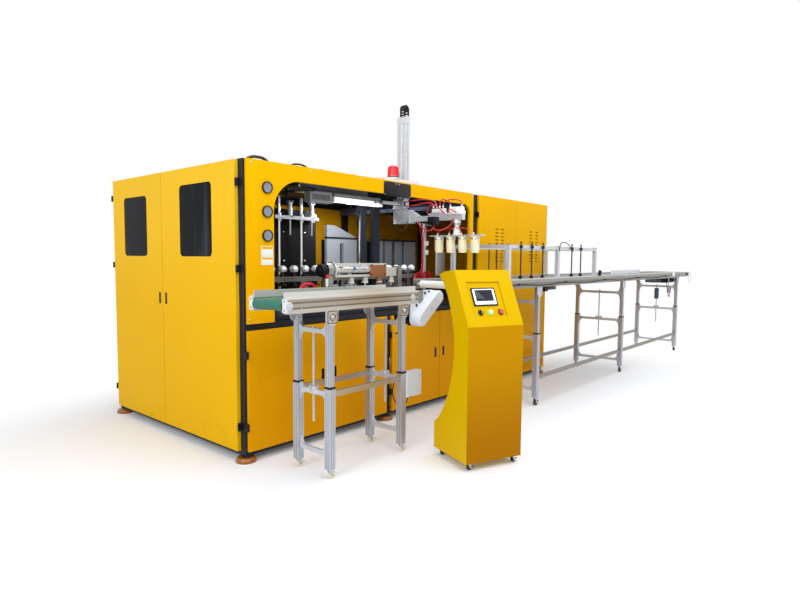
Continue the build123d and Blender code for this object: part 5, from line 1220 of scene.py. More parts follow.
fit("roof_cable_clips", zinc_steel, clips)
lamp_caps = [block((x, 0.283, 2.0585), (x + 0.012, 0.347, 2.108)) for x in (1.155, 1.803)]
fit("lamp_end_caps", white_plastic, lamp_caps)
vent_xs = [0.905 + 0.014 * step for step in range(15)]
fit("ballast_vents", dark_steel, [block((x, 0.2835, 2.062), (x + 0.005, 0.2855, 2.112), 0) for x in vent_xs])

# %% Spindle gearbox and sprockets
GEAR_X, GEAR_Y = 2.660, 0.530
gearbox = [
    block((2.560, 0.420, BED_SEAT), (2.900, 0.640, 1.100)),
    block((2.590, 0.440, 1.0990), (2.860, 0.620, 1.300), 0.006),
    drum((GEAR_X, GEAR_Y, 1.299), UP, 0.060, 0.110, 0.004),
    drum((2.800, GEAR_Y, 1.299), UP, 0.045, 0.085, 0.004),
    drum((2.585, GEAR_Y, 1.200), LEFT, 0.040, 0.060, 0.003),
]
gearbox += [drum((GEAR_X, GEAR_Y, 1.312 + 0.013 * step), UP, 0.064, 0.004, 0.0008) for step in range(7)]
fit("spindle_gearbox", black_plastic, gearbox)
bed_bolts = [(x, y, 1.100) for x in (2.574, 2.886) for y in (0.436, 0.624)]
bolts(bed_bolts, UP, 0.008, 0.008, "gearbox_bolts", zinc_steel)
toothed = [(0.034, 0.0), (0.036, 0.002), (0.036, 0.010), (0.034, 0.012)]
sprocket = turned([(0, 0.0), *toothed, (0.020, 0.013), (0.020, 0.0385), (0, 0.0385)], 28)
spindle_spots = [(0.411 + 0.125 * step, 0.400, 1.300) for step in range(17)]
fit_copies("spindle_sprockets", dark_steel, sprocket, spindle_spots)
print("drives done")

# %% Valve bank and its post
VALVE_PITCH = 0.045
fit("valve_post", upright_metal, [block((2.600, 0.372, BED_SEAT), (2.634, 0.406, 2.000), 0.0015)])
bank = [block((2.470, 0.362, 1.926), (2.708, 0.372, 2.034))]
for step in range(5):
    x = 2.480 + VALVE_PITCH * step
    bank.append(block((x, 0.345, 1.936), (x + 0.034, 0.363, 2.020), 0.0025))
fit("valve_bank", black_plastic, bank)
small_boxes = [block((2.606, 0.352, z), (2.652, 0.3725, z + 0.052), 0.003) for z in (1.690, 1.590)]
fit("valve_post_boxes", white_plastic, small_boxes)
bank_xs = [2.497 + VALVE_PITCH * step for step in range(5)]
fittings([((x, 0.354, 1.9365), DOWN) for x in bank_xs], "bank_fittings", "machine", white_plastic, hose_blue)

# %% Red hoses
riser_routes = []
for step, top_x in enumerate(bank_xs[:3]):
    x = 2.552 + 0.010 * step
    top = [(top_x, 0.354, 1.918), (top_x, 0.356, 1.860), (x, 0.366, 1.780), (x, 0.366, 1.560)]
    foot = [(2.550 + 0.012 * step, 0.366, 1.450), (2.530 + 0.014 * step, 0.380, 1.390)]
    riser_routes.append(top + foot + [(2.575 + 0.03 * step, 0.430, 1.300)])
bundle(riser_routes, 0.0046, "riser_hoses", hose_red)
cross_routes = []
for step in range(5):
    drop = 0.019 * step
    rise = [(2.380, 0.340, 1.090), (2.372 + 0.006 * step, 0.338, 1.230)]
    bend = [(2.384 + 0.008 * step, 0.340, 1.345 - drop * 0.4), (2.440, 0.352, 1.386 - drop)]
    run = [(2.560, 0.360, 1.402 - drop), (2.700, 0.366, 1.392 - drop)]
    fall = [(2.800, 0.390, 1.350 - drop), (2.840, 0.470, 1.290 - drop)]
    cross_routes.append(rise + bend + run + fall)
bundle(cross_routes, 0.0062, "cross_hoses", hose_red)
fit("hose_manifold", dark_steel, [block((2.345, 0.318, BED_SEAT), (2.420, 0.362, 1.112), 0.003)])
fit("side_bay_panel", white_paint, [block((3.1300, 0.600, 1.340), (3.300, 0.616, 1.630), 0.003)])
fit("panel_foot", dark_steel, [block((3.180, 0.590, BED_SEAT), (3.250, 0.626, 1.341), 0.003)])
print("hoses done")

# %% [markdown]
# ## Step 18: the turn-over unit and the clamp
#
# The turn-over unit swings preforms from the spindles to the loader. Its CAD parts get what a
# fitter sees: flange bolts, a stroke cylinder with end caps, and grip rings. The clamp gets the
# nuts of its tie bars and the screws of its mould. Each bolt pattern is one bolt copied.

# %% Drive of the turn-over unit
DRIVE_Y, DRIVE_Z = 0.100, 1.440
BOLT_CIRCLE = 0.0545
ring_spots = []
for step in range(8):
    angle = radians(22.5 + 45 * step)
    ring_spots.append((0.880, DRIVE_Y + BOLT_CIRCLE * cos(angle), DRIVE_Z + BOLT_CIRCLE * sin(angle)))
bolts(ring_spots, LEFT, 0.0042, 0.004, "flange_bolts", zinc_steel)
tail_end = [(0.0, 0.0340), (0.030, 0.0340), (0.034, 0.0300), (0.034, 0.0180)]
tail_rim = [(0.050, 0.0160), (0.053, 0.0120), (0.053, -0.0005)]
fit("motor_tail", black_plastic, [turned(tail_end + tail_rim, 40, (0.836, DRIVE_Y, DRIVE_Z), LEFT)])
fin_xs = [0.8400 + 0.0065 * step for step in range(6)]
fins = [drum((x, DRIVE_Y, DRIVE_Z), RIGHT, 0.0570, 0.0030, 0.0006, 40) for x in fin_xs]
fit("motor_fins", black_plastic, fins)

# %% Beam of the turn-over unit
swing = "turn_over_beam"
STROKE_Y, STROKE_Z = 0.072, 1.456
stroke = [drum((1.060, STROKE_Y, STROKE_Z), RIGHT, 0.0150, 0.300)]
for left, right in ((1.044, 1.068), (1.356, 1.382)):
    stroke.append(block((left, 0.052, 1.4395), (right, 0.0815, 1.4755)))
stroke.append(drum((1.381, STROKE_Y, STROKE_Z), RIGHT, 0.0065, 0.040, 0.001, 20))
fit("stroke_cylinder", polished_steel, stroke, swing)
fit("stroke_sensor", hose_blue, [drum((1.190, STROKE_Y, STROKE_Z), RIGHT, 0.0180, 0.026, 0.002)], swing)
grip_band = [(0.0300, -0.0470), (0.0310, -0.0440), (0.0310, -0.0400), (0.0300, -0.0385)]
grip_ring = turned([(0.0275, -0.0480), *grip_band, (0.0275, -0.0380)])
turner_heads = [(x, DRIVE_Y, 1.368) for x in (1.198, 1.379, 1.570, 1.740)]
fit_copies("preform_grip_rings", white_plastic, grip_ring, turner_heads, UP, swing)
beam_bolts = [(x, 0.080, 1.488) for x in (1.010, 1.120, 1.300, 1.400)]
bolts(beam_bolts, FRONT, 0.005, 0.005, "turn_over_beam_bolts", zinc_steel, swing)
block_bolts = [(x, STROKE_Y, z) for x in (1.440, 1.620) for z in (1.396, 1.484)]
bolts(block_bolts, FRONT, 0.006, 0.006, "turn_over_block_bolts", dark_steel, swing)

# %% Loader probe, clamp and stretch cylinders
PROBE_X, PROBE_Y = 0.857, 0.045
probe = [
    drum((PROBE_X, PROBE_Y, BED_SEAT), UP, 0.017, 0.012, 0.001, 28),
    drum((PROBE_X, PROBE_Y, 1.0900), UP, 0.008, 0.225, 0.001, 20),
    drum((PROBE_X, PROBE_Y, 1.3100), UP, 0.014, 0.060, 0.002, 28),
]
fit("loader_probe", white_plastic, probe)
fit("probe_tip", hose_red, [drum((PROBE_X, PROBE_Y, 1.3695), UP, 0.0145, 0.036, 0.003, 28)])
CLAMP_FACE = 0.560
nut_places = [(x, CLAMP_FACE, z) for x in (0.460, 1.140) for z in (1.140, 1.925)]
bolts(nut_places, FRONT, 0.031, 0.030, "tie_bar_nuts", zinc_steel)
mould_screws = [(x, CLAMP_FACE, z) for x in (0.560, 0.800, 1.040) for z in (1.260, 1.520, 1.780)]
screw_heads(mould_screws, FRONT, 0.010, 0.008, "mould_screws", zinc_steel)
CYLINDER_XS = (0.825, 1.075)
air_cylinders = []
for x in CYLINDER_XS:
    air_cylinders.append(drum((x, 0.500, 1.914), UP, 0.021, 0.130, 0.002))
    for low, high in ((1.9095, 1.926), (2.036, 2.056)):
        air_cylinders.append(block((x - 0.024, 0.478, low), (x + 0.024, 0.522, high)))
fit("stretch_cylinders", upright_metal, air_cylinders, "stretch_platen")
stretch_spots = [((x, 0.478, z), FRONT) for x in CYLINDER_XS for z in (1.918, 2.046)]
fittings(stretch_spots, "stretch_fittings", "stretch_platen", black_plastic, hose_blue)
print("turn-over unit done")

# %% [markdown]
# Behind the oven a black sheet is painted shade: it darkens the gaps between the oven's panels,
# where the back wall would show through. It could be a CAD sheet, but it carries nothing, so it
# is a thin block sized from the oven's own box.

# %% Painted shade sheet behind the oven
MARGIN = 0.01
oven_low, oven_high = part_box("oven_housing")
shade_sheet_low = (oven_low[0] + MARGIN, oven_high[1] - 0.0005, oven_low[2] + MARGIN)
shade_sheet_high = (oven_high[0] - MARGIN, oven_high[1] + 0.0035, 1.7450)
fit("oven_gap_shade_sheet", matt_black, [block(shade_sheet_low, shade_sheet_high, 0.001)])
# %% [markdown]
# ## Step 19: the first conveyor
#
# The short conveyor's rails are extrusions with capped ends, held to the legs by yellow
# passivated brackets with a large bolt. The height screws are threaded. A true helix would cost
# many faces for a rod one centimetre thick, so the thread is a stack of thin rings.

# %% Leg brackets and their bolts
deck_one = "first_deck"
BRACKET_Z = 1.1435
dome = [(0.0240, 0.0045), (0.0270, 0.0105), (0.0240, 0.0125), (0.0205, 0.0105)]
boss_ring = [(0.0200, 0.0045), *dome, (0.0200, 0.0045)]
brackets = []
for x in FIRST_STANDS:
    for y, outward in ((-0.7195, FRONT), (-0.3305, BACK)):
        flat = (-outward[1], 0, 0)
        spot = (x, y, BRACKET_Z)
        brackets.append(dished(rounded(0.094, 0.090, 0.012), spot, flat, outward, 0.009, 0.007, 0.004))
        brackets.append(turned(boss_ring, 32, spot, outward))
fit("leg_brackets", bronze_zinc, brackets, deck_one)
front_bolts = [(x, -0.7240, BRACKET_Z) for x in FIRST_STANDS]
bolts(front_bolts, FRONT, 0.0125, 0.013, "leg_bolts_front", zinc_steel, deck_one)
rear_bolts = [(x, -0.3260, BRACKET_Z) for x in FIRST_STANDS]
bolts(rear_bolts, BACK, 0.0125, 0.013, "leg_bolts_rear", zinc_steel, deck_one)
corners = [(right, rise) for right in (-0.034, 0.034) for rise in (-0.032, 0.032)]
corner_bolts = [(x + right, -0.7285, BRACKET_Z + rise) for x in FIRST_STANDS for right, rise in corners]
screw_heads(corner_bolts, FRONT, 0.0048, 0.0038, "bracket_screws", zinc_steel, deck_one)

# %% Rail caps, end blocks and bearings
RAIL_FACE = -0.7250
RAIL_MIDDLES = (-0.705, -0.345)
cap_dots = [(-0.1770, y, z) for y in RAIL_MIDDLES for z in (1.270, 1.212)]
screw_heads(cap_dots, LEFT, 0.0055, 0.0020, "rail_cap_screws", dark_steel, deck_one)
block_screws = [(1.2150, y, z) for y in RAIL_MIDDLES for z in (1.265, 1.215)]
screw_heads(block_screws, RIGHT, 0.0060, 0.0040, "end_block_screws", zinc_steel, deck_one)
boss = turned([(0, 0.008), (0.010, 0.008), (0.012, 0.005), (0.026, 0.005), (0.029, 0.002), (0.029, -0.0005)])
shaft_spots = [(x, RAIL_FACE, 1.238) for x in (-0.151, 1.085)]
fit_copies("bearing_covers", cast_alloy, boss, shaft_spots, FRONT, deck_one)
slot_nuts = [(-0.05 + 0.30 * step, -0.7210, 1.2216) for step in range(4)]
screw_heads(slot_nuts, FRONT, 0.0048, 0.0045, "slot_screws", zinc_steel, deck_one)

# %% Threads, chain guard and belt motor
THREAD_PITCH = 0.009


def threads(spots, low, high, name, body):
    """Rings of thread round the height screws."""
    one = turned([(0.0078, 0.0), (0.0090, 0.0026), (0.0090, 0.0034), (0.0078, 0.0060)], 12)
    count = int((high - low) / THREAD_PITCH)
    places = [(x, y, low + THREAD_PITCH * step) for x, y in spots for step in range(count)]
    fit_copies(name, thread_steel, one, places, UP, body)


threads([(x, -0.525) for x in FIRST_STANDS], 0.430, 1.018, "height_threads_1", deck_one)
guard_bolts = [(x, RAIL_FACE, z) for x, z in ((1.128, 1.174), (1.235, 1.268), (1.290, 1.276))]
bolts(guard_bolts, FRONT, 0.008, 0.008, "guard_bolts", dark_steel, deck_one)
cover_screws = [(x, -0.8110, z) for x, z in ((1.080, 1.056), (1.357, 1.241), (1.2185, 1.1485))]
screw_heads(cover_screws, FRONT, 0.0055, 0.0028, "guard_cover_screws", zinc_steel, deck_one)
MOTOR_X, MOTOR_Z = 1.110, 1.062
belt_motor = [
    slab((MOTOR_X, -0.7015, MOTOR_Z), (0.096, 0.023, 0.096), 0.004),
    drum((MOTOR_X, -0.691, MOTOR_Z), BACK, 0.044, 0.105, 0.003, 40),
    drum((MOTOR_X, -0.588, MOTOR_Z), BACK, 0.038, 0.060, 0.006, 40),
]
fin_ys = [-0.680 + 0.011 * step for step in range(8)]
belt_motor += [drum((MOTOR_X, y, MOTOR_Z), BACK, 0.0465, 0.0045, 0.0008, 40) for y in fin_ys]
fit("belt_motor_1", dark_steel, belt_motor, deck_one)
print("first conveyor done")

# %% [markdown]
# ## Step 20: casters and the control box
#
# Each caster has a hub disc, an axle nut, a brake lever and a swivel. One set is modelled at
# zero and copied to every wheel, because a bought part is the same wherever it is bolted. The
# control box is a bought enclosure: a lid with a raised rim, two locks and two cable glands.

# %% Casters
AXLE_OFFSET = 0.014


def both_sides(axles, half_width):
    """Matrices that turn a piece out of both sides of every wheel."""
    near = [moved((x, y - half_width, z)) @ aim(FRONT) for x, y, z in axles]
    return near + [moved((x, y + half_width, z)) @ aim(BACK) for x, y, z in axles]


def caster_details(forks, radius, top, name, hub_finish, lever_finish):
    """Hub discs, axle nuts, brake levers and swivels for casters whose forks turn at (x, y)."""
    axles = [(x + AXLE_OFFSET, y, radius) for x, y in forks]
    hub = [(0, 0.0018), (radius * 0.30, 0.0018), (radius * 0.34, 0.0006), (radius * 0.62, 0.0006)]
    hub += [(radius * 0.68, 0.0014), (radius * 0.70, -0.0004)]
    dress(copies(turned(hub, 28), both_sides(axles, 0.0108), name + "_hubs"), hub_finish)
    nut = turned([(0, 0.0060), (0.0056, 0.0060), (0.0064, 0.0050), (0.0064, -0.0005)], 6)
    dress(copies(nut, both_sides(axles, 0.0150), name + "_nuts"), zinc_steel)
    lever = block((0.0, -0.0135, 0.0), (0.030, 0.0135, 0.006))
    lever.data.transform(Matrix.Rotation(radians(24), 4, "Y"))
    lever_spots = [(x + radius * 0.80, y, radius * 1.42) for x, y, z in axles]
    fit_copies(name + "_brakes", lever_finish, lever, lever_spots)
    rim = [(0.017, 0.0), (0.019, 0.002), (0.019, 0.005), (0.017, 0.007)]
    stem = turned([(0.0, 0.0), *rim, (0.0, 0.007)], 24)
    return copies(stem, [moved((x, y, top - 0.0075)) for x, y in forks], "swivel")


first_legs = [(x, y) for x in FIRST_STANDS for y in FIRST_LEG_YS]
second_legs = [(x, y) for x in SECOND_STANDS for y in SECOND_LEG_YS]
console_forks = []
for right in (0.045, 0.449):
    for depth in (0.045, 0.418):
        spot = console_corner + across * right + inward * depth
        console_forks.append((spot.x, spot.y))
swivels = [
    caster_details(first_legs, 0.026, 0.0630, "caster_1", cream_plastic, wheel_plastic),
    caster_details(second_legs, 0.032, 0.0810, "caster_2", red_hub, black_plastic),
    caster_details(console_forks, 0.019, 0.0560, "caster_3", dark_steel, black_plastic),
]
fit("caster_swivels", zinc_steel, swivels)

# %% Control box
box_low, box_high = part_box("control_box")
box_middle = ((box_low[0] + box_high[0]) / 2, box_low[1], (box_low[2] + box_high[2]) / 2)
lid = dished(rounded(0.176, 0.190, 0.006), box_middle, RIGHT, FRONT, 0.006, 0.006, 0.002)
fit("control_box_lid", guard_paint, [lid])
lock_profile = [(0, 0.002), (0.0035, 0.002), (0.0045, 0.004), (0.0075, 0.0035), (0.0085, -0.0005)]
lock_zs = (box_low[2] + 0.040, box_high[2] - 0.040)
box_locks = [turned(lock_profile, 24, (box_low[0] + 0.166, box_low[1] - 0.0042, z), FRONT) for z in lock_zs]
fit("control_box_locks", zinc_steel, box_locks)
glands = []
for x in (box_low[0] + 0.050, box_low[0] + 0.100):
    glands.append(drum((x, -0.697, box_low[2] + 0.0005), DOWN, 0.0105, 0.006, 0.001, 6))
    glands.append(drum((x, -0.697, box_low[2] - 0.005), DOWN, 0.0085, 0.014, 0.002, 20))
fit("control_box_glands", black_plastic, glands)


# %% [markdown]
# A cable goes from the box into the leg, and a second one from the leg to the belt motor. One
# cable could run the whole way, but the leg is telescopic, so each half rides its own body.

# %% Cables of the control box and the belt motor
def leg_gland(y, z, name, body):
    """A gland in the side of the right leg."""
    fit(name, black_plastic, [drum((FIRST_STANDS[1], y, z), BACK, 0.0085, 0.022, 0.002, 20)], body)


leg_gland(-0.6700, 0.590, "leg_cable_gland", "machine")
motor_cable = [
    (0.980, -0.6560, 0.960), (0.984, -0.6300, 0.956), (1.010, -0.6100, 0.940), (1.060, -0.6050, 0.945),
    (1.098, -0.6200, 0.975), (1.106, -0.6300, 1.020),
]
bundle([motor_cable], 0.0045, "belt_motor_cable", hose_black, deck_one)
leg_gland(-0.6755, 0.960, "upper_leg_gland", deck_one)
box_cable = [
    (box_low[0] + 0.050, -0.697, box_low[2] - 0.018), (box_low[0] + 0.050, -0.690, box_low[2] - 0.060),
    (box_low[0] + 0.010, -0.660, box_low[2] - 0.085), (0.990, -0.610, 0.400), (0.982, -0.600, 0.480),
    (0.980, -0.620, 0.560), (0.980, -0.650, 0.590),
]
bundle([box_cable], 0.0045, "control_box_cable", hose_black)
print("casters and box done")

# %% [markdown]
# ## Step 21: the second conveyor
#
# The long conveyor carries the guide rods on split clamps, a cable on clips under its top edge,
# a drive at the far end and a bottle guard. Each clamp is a block with a screw; the cable's
# clips are small plates, copied to where the CAD cable touches the rail.

# %% Rod clamps and guide posts
deck_two = "second_deck"
clamp_blocks = []
clamp_screws = []
for y, xs in ((-0.824, NEAR_RODS), (-0.136, FAR_RODS)):
    for x in xs:
        for z in (1.673, 1.372):
            clamp_blocks.append(slab((x, y, z), (0.030, 0.030, 0.028)))
            clamp_screws.append((x + 0.0148, y, z))
        clamp_blocks.append(drum((x, y, 1.7125), UP, 0.0085, 0.012, 0.002, 16))
fit("guide_rod_clamps", black_plastic, clamp_blocks, deck_two)
screw_heads(clamp_screws, RIGHT, 0.0045, 0.0045, "guide_rod_screws", zinc_steel, deck_two)
posts = [(x, y) for x in (2.420, 3.470, 4.490) for y in (-0.805, -0.155)]
post_caps = [slab((x, y, 1.692), (0.041, 0.041, 0.005), 0.0015) for x, y in posts]
fit("guide_post_caps", black_plastic, post_caps, deck_two)
post_feet = [slab((x, y, 1.35865), (0.092, 0.037, 0.0077), 0.0015) for x, y in posts]
fit("guide_post_feet", cast_alloy, post_feet, deck_two)
foot_bolts = [(x + step, y, 1.3620) for x, y in posts for step in (-0.034, 0.034)]
bolts(foot_bolts, UP, 0.0055, 0.006, "guide_foot_bolts", zinc_steel, deck_two)

# %% Rail fittings, side guard and leg sleeves
CLIP_XS = (2.1101, 2.5837, 3.6402, 4.7741, 5.9967, 7.3000)
cable_clips = [block((x - 0.012, -0.8445, 1.290), (x + 0.012, -0.8295, 1.3085), 0.0015) for x in CLIP_XS]
fit("cable_clips", black_plastic, cable_clips, deck_two)
groove_zs = [1.262 + 0.093 * share for share in (0.32, 0.66)]
rail_screws = [(2.000 + 0.500 * step, -0.8260, z) for step in range(13) for z in groove_zs]
screw_heads(rail_screws, FRONT, 0.0052, 0.0050, "rail_screws_2", zinc_steel, deck_two)
side_guard = [block((4.955, -0.8380, 1.366), (6.060, -0.8330, 1.412), 0.001)]
for x in (5.000, 5.500, 6.010):
    side_guard.append(block((x - 0.014, -0.8335, 1.330), (x + 0.014, -0.8298, 1.405), 0.001))
fit("side_guard", rail_metal, side_guard, deck_two)
eye_body = block((4.560, -0.858, 1.350), (4.590, -0.8295, 1.420), 0.003)
eye_lens = drum((4.575, -0.857, 1.400), FRONT, 0.009, 0.010, 0.001, 20)
fit("photo_eye", black_plastic, [eye_body, eye_lens], deck_two)
under_deck = [
    block((3.205, -0.800, 1.222), (3.468, -0.700, 1.2622), 0.003),
    block((3.225, -0.790, 1.205), (3.300, -0.710, 1.223), 0.004),
]
fit("under_deck_unit", dark_steel, under_deck, deck_two)
sleeve_spots = [(x, y, 0.7685) for x, y in second_legs] + [(x, y, 0.6465) for x, y in first_legs]
fit("leg_sleeves", black_plastic, [slab(spot, (0.058, 0.058, 0.015)) for spot in sleeve_spots])
threads([(x, -0.480) for x in SECOND_STANDS], 0.560, 1.080, "height_threads_2", deck_two)
screw_cover = drum((SECOND_STANDS[2], -0.480, 0.880), UP, 0.036, 0.185, 0.004, 36)
fit("screw_cover", blue_grey_paint, [screw_cover], deck_two)

# %% Far switch, drive and bearings
switch_box = block((7.420, -0.862, 1.020), (7.520, -0.832, 1.140), 0.005)
switch_arm = block((7.455, -0.8335, 1.130), (7.485, -0.8290, 1.270), 0.001)
fit("far_switch_box", dial_grey, [switch_box, switch_arm], deck_two)
fit("switch_knob", stop_cap, [drum((7.470, -0.861, 1.098), FRONT, 0.016, 0.014, 0.003, 28)], deck_two)
switch_cable = [
    (7.470, -0.850, 1.022), (7.470, -0.850, 0.975), (7.520, -0.840, 0.950), (7.600, -0.800, 0.960),
    (7.700, -0.745, 1.060), (7.790, -0.712, 1.180), (7.830, -0.700, 1.204),
]
bundle([switch_cable], 0.0055, "far_switch_cable", hose_black, deck_two)
ring_xs = [7.900 + 0.018 * step for step in range(14)]
motor_rings = [drum((x, -0.700, 1.208), RIGHT, 0.0365, 0.006) for x in ring_xs]
fit("far_motor_fins", dark_steel, motor_rings, deck_two)
end_cap = turned([(0, 0.010), (0.020, 0.010), (0.026, 0.006), (0.030, -0.0005)])
end_caps = []
for x in (8.600, 1.832):
    end_caps += [moved((x, -0.830, 1.307)) @ aim(FRONT), moved((x, -0.130, 1.307)) @ aim(BACK)]
dress(copies(end_cap, end_caps, "bearing_covers_2"), cast_alloy, deck_two)

# %% Cords and counter
loop_cable = [
    (3.470, -0.826, 1.640), (3.468, -0.834, 1.700), (3.490, -0.836, 1.736), (3.580, -0.836, 1.742),
    (3.690, -0.834, 1.716), (3.770, -0.834, 1.670), (3.795, -0.838, 1.640),
]
bundle([loop_cable], 0.0045, "guide_cable_loop", hose_black, deck_two)
sensor_cords = [
    [
        (8.560, -0.838, 1.318), (8.600, -0.846, 1.345), (8.680, -0.850, 1.330), (8.700, -0.850, 1.230),
        (8.655, -0.850, 1.140), (8.600, -0.848, 1.180), (8.585, -0.840, 1.290),
    ],
    [
        (8.500, -0.838, 1.318), (8.550, -0.850, 1.350), (8.640, -0.856, 1.348), (8.668, -0.856, 1.290),
        (8.640, -0.846, 1.250), (8.610, -0.838, 1.280),
    ],
]
bundle(sensor_cords, 0.0050, "tail_sensor_cords", white_plastic, deck_two)
tail_clips = [block((x - 0.012, -0.8440, 1.300), (x + 0.012, -0.8290, 1.332)) for x in (8.500, 8.572)]
fit("tail_sensor_clips", black_plastic, tail_clips, deck_two)
counter = block((7.640, -0.860, 1.285), (7.712, -0.8295, 1.345), 0.006)
counter_dial = drum((7.676, -0.859, 1.315), FRONT, 0.020, 0.006, 0.002, 28)
fit("counter_box", white_plastic, [counter, counter_dial], deck_two)
print("second conveyor done")
# %% [markdown]
# ## Step 22: the console
#
# The console's panel is a recess in its slope, with a framed display, a row of keys and three
# controls. The slope leans and turns, so the pieces are placed by steps along three directions:
# across it, up it and out of it. That keeps each one flush without any angle worked out by hand.

# %% Display and keys
slope_up = (inward * 0.202 + Vector((0, 0, 0.410))).normalized()
slope_out = across.cross(slope_up)
knee = console_corner + Vector((0, 0, 1.058))
PANEL_MIDDLE = 0.2105


def panel_spot(right_step, up_step, out_step=-0.012):
    """A place on the console's slope, from its lower left corner."""
    return knee + across * right_step + slope_up * up_step + slope_out * out_step


bezel_spot = panel_spot(PANEL_MIDDLE, 0.240, -0.0061)
bezel = dished(rounded(0.192, 0.124, 0.008), bezel_spot, across, slope_out, 0.0030, 0.0075, 0.0018)
fit("display_bezel", zinc_steel, [bezel])
glass_spot = panel_spot(PANEL_MIDDLE, 0.2500, -0.0050)
screen = plate(rounded(0.156, 0.088, 0.003), glass_spot, across, slope_out, 0.0014, 0.0003)
fit("display_glass", display_glass, [screen])
key_outline = rounded(0.0200, 0.0105, 0.002)
key_spots = [panel_spot(0.1455 + 0.0260 * step, 0.1880, -0.0050) for step in range(6)]
keys = [plate(key_outline, spot, across, slope_out, 0.0016, 0.0004) for spot in key_spots]
fit("display_keys", white_plastic, keys)

# %% Rings, mark and screws of the panel
CONTROL_UP = 0.117
RING_OUT = -0.0121
ring_profile = [
    (0.0187, 0.0), (0.0235, 0.0), (0.0245, 0.0012), (0.0235, 0.0024), (0.0205, 0.0028), (0.0187, 0.0012),
    (0.0187, 0.0),
]
rings = [panel_spot(step, CONTROL_UP, RING_OUT) for step in (0.144, 0.325)]
fit_copies("control_rings", black_plastic, turned(ring_profile, 36), rings, slope_out)
lit_profile = [
    (0.0167, 0.0), (0.0225, 0.0), (0.0238, 0.0014), (0.0225, 0.0030), (0.0190, 0.0034), (0.0167, 0.0014),
    (0.0167, 0.0),
]
lit_ring = turned(lit_profile, 36, panel_spot(0.232, CONTROL_UP, RING_OUT), slope_out)
fit("start_ring", glow_finish.material, [lit_ring])
mark_outline = [(-0.0014, -0.012), (0.0014, -0.012), (0.0014, 0.012), (-0.0014, 0.012)]
mark = plate(mark_outline, panel_spot(0.144, CONTROL_UP, 0.0064), across, slope_out, 0.0006, 0)
fit("selector_mark", white_plastic, [mark], "selector_knob")
panel_screws = [panel_spot(right, up) for right in (0.082, 0.362) for up in (0.092, 0.350)]
screw_heads(panel_screws, slope_out, 0.0040, 0.0024, "panel_screws", zinc_steel)
print("panel done")

# %% [markdown]
# ## Step 23: the console's back door and side screws
#
# The back carries a service door low down with a lock and slots, and screws hold the sides.
# The door could be cut into the sheet, but a flat sheet laid on it is how such doors are made.

# %% Service door, lock and screws
CONSOLE_WIDTH = 0.494
back = console_corner + inward * 0.463
door_middle = back + across * (CONSOLE_WIDTH / 2) + Vector((0, 0, 0.164))
service = plate(rounded(0.400, 0.170, 0.010), door_middle, -across, inward, 0.003)
fit("service_door", console_paint, [service])
slot_outline = rounded(0.070, 0.006, 0.0028)
slots = []
for row in range(4):
    rise = Vector((0, 0, -0.040 + 0.020 * row)) + inward * 0.0029
    for column in (-0.11, 0.0, 0.11):
        slots.append(plate(slot_outline, door_middle + across * column + rise, -across, inward, 0.0006, 0))
fit("service_door_slots", black_plastic, slots)
lock_profile = [(0, 0.003), (0.005, 0.003), (0.006, 0.006), (0.010, 0.005), (0.011, -0.0005)]
lock = turned(lock_profile, 24, door_middle + across * -0.175 + inward * 0.003, inward)
fit("service_lock", zinc_steel, [lock])
side_steps = ((0.030, 0.090), (0.030, 0.980), (0.430, 0.090))
side_screws = [console_corner + inward * depth + Vector((0, 0, z)) for depth, z in side_steps]
screw_heads(side_screws, -across, 0.0055, 0.0030, "console_side_screws", zinc_steel)
far_screws = [spot + across * CONSOLE_WIDTH for spot in side_screws]
screw_heads(far_screws, across, 0.0055, 0.0030, "console_far_screws", zinc_steel)
print("console done")
# %% [markdown]
# ## Step 24: the back
#
# The photograph doesn't show the back, so it stays plain: lift-off sheets held by quarter-turn
# locks, with pulls to lift them by and louvres that let the heat out. The locks could be bolts,
# but a sheet that is lifted off every week has locks.

# %% Louvres, locks and pulls on the rear sheets
BACK_FACE = 2.170
PULL_TOP, PULL_FOOT = 1.290, 1.140
cabinet_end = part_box("cabinet_panels")[1][0] - 0.020
rear_bays = ((0.0, 1.555), (1.555, 3.0375), (3.0375, cabinet_end))
pull_foot = [(0.0, 0.004), (0.011, 0.004), (0.013, 0.002), (0.013, -0.0005)]
louvre_spots = []
lock_spots = []
pulls = []
for left, right in rear_bays:
    middle = (left + right) / 2
    for column in (-0.20, 0.0, 0.20):
        louvre_spots += [(middle + column, BACK_FACE, 1.700 + 0.045 * row) for row in range(7)]
    lock_spots += [(x, BACK_FACE, z) for x in (left + 0.070, right - 0.070) for z in (0.180, 1.180, 2.160)]
    for x in (left + 0.240, right - 0.240):
        root = BACK_FACE - 0.001
        reach = BACK_FACE + 0.032
        grip = [(x, reach, PULL_TOP - 0.002), (x, reach, PULL_FOOT + 0.002)]
        pulls.append(tube([(x, root, PULL_TOP), *grip, (x, root, PULL_FOOT)], 0.006, 5))
        pulls += [turned(pull_foot, 24, (x, BACK_FACE, z), BACK) for z in (PULL_TOP, PULL_FOOT)]
one_louvre = dished(rounded(0.150, 0.018, 0.006), (0, 0, 0), LEFT, BACK, 0.0060, 0.0030, 0.0030)
fit_copies("rear_louvres", yellow_paint, one_louvre, louvre_spots)
lock_head = [(0.0045, 0.0015), (0.0055, 0.0045), (0.0105, 0.0040), (0.0125, 0.0015)]
lock = turned([(0.0, 0.0015), *lock_head, (0.0125, -0.0005)], 28)
fit_copies("rear_locks", zinc_steel, lock, lock_spots, BACK)
fit("rear_pulls", black_plastic, pulls)
print("back done")
# %% [markdown]
# ## The studio
#
# The line stands on a plain pale floor in soft light. The sky's colour could light and show at
# once, but then a white background would burn out the yellow. What the camera sees of the sky,
# straight or in metal and glass, is plain white, and what lights the line is a softer grey.

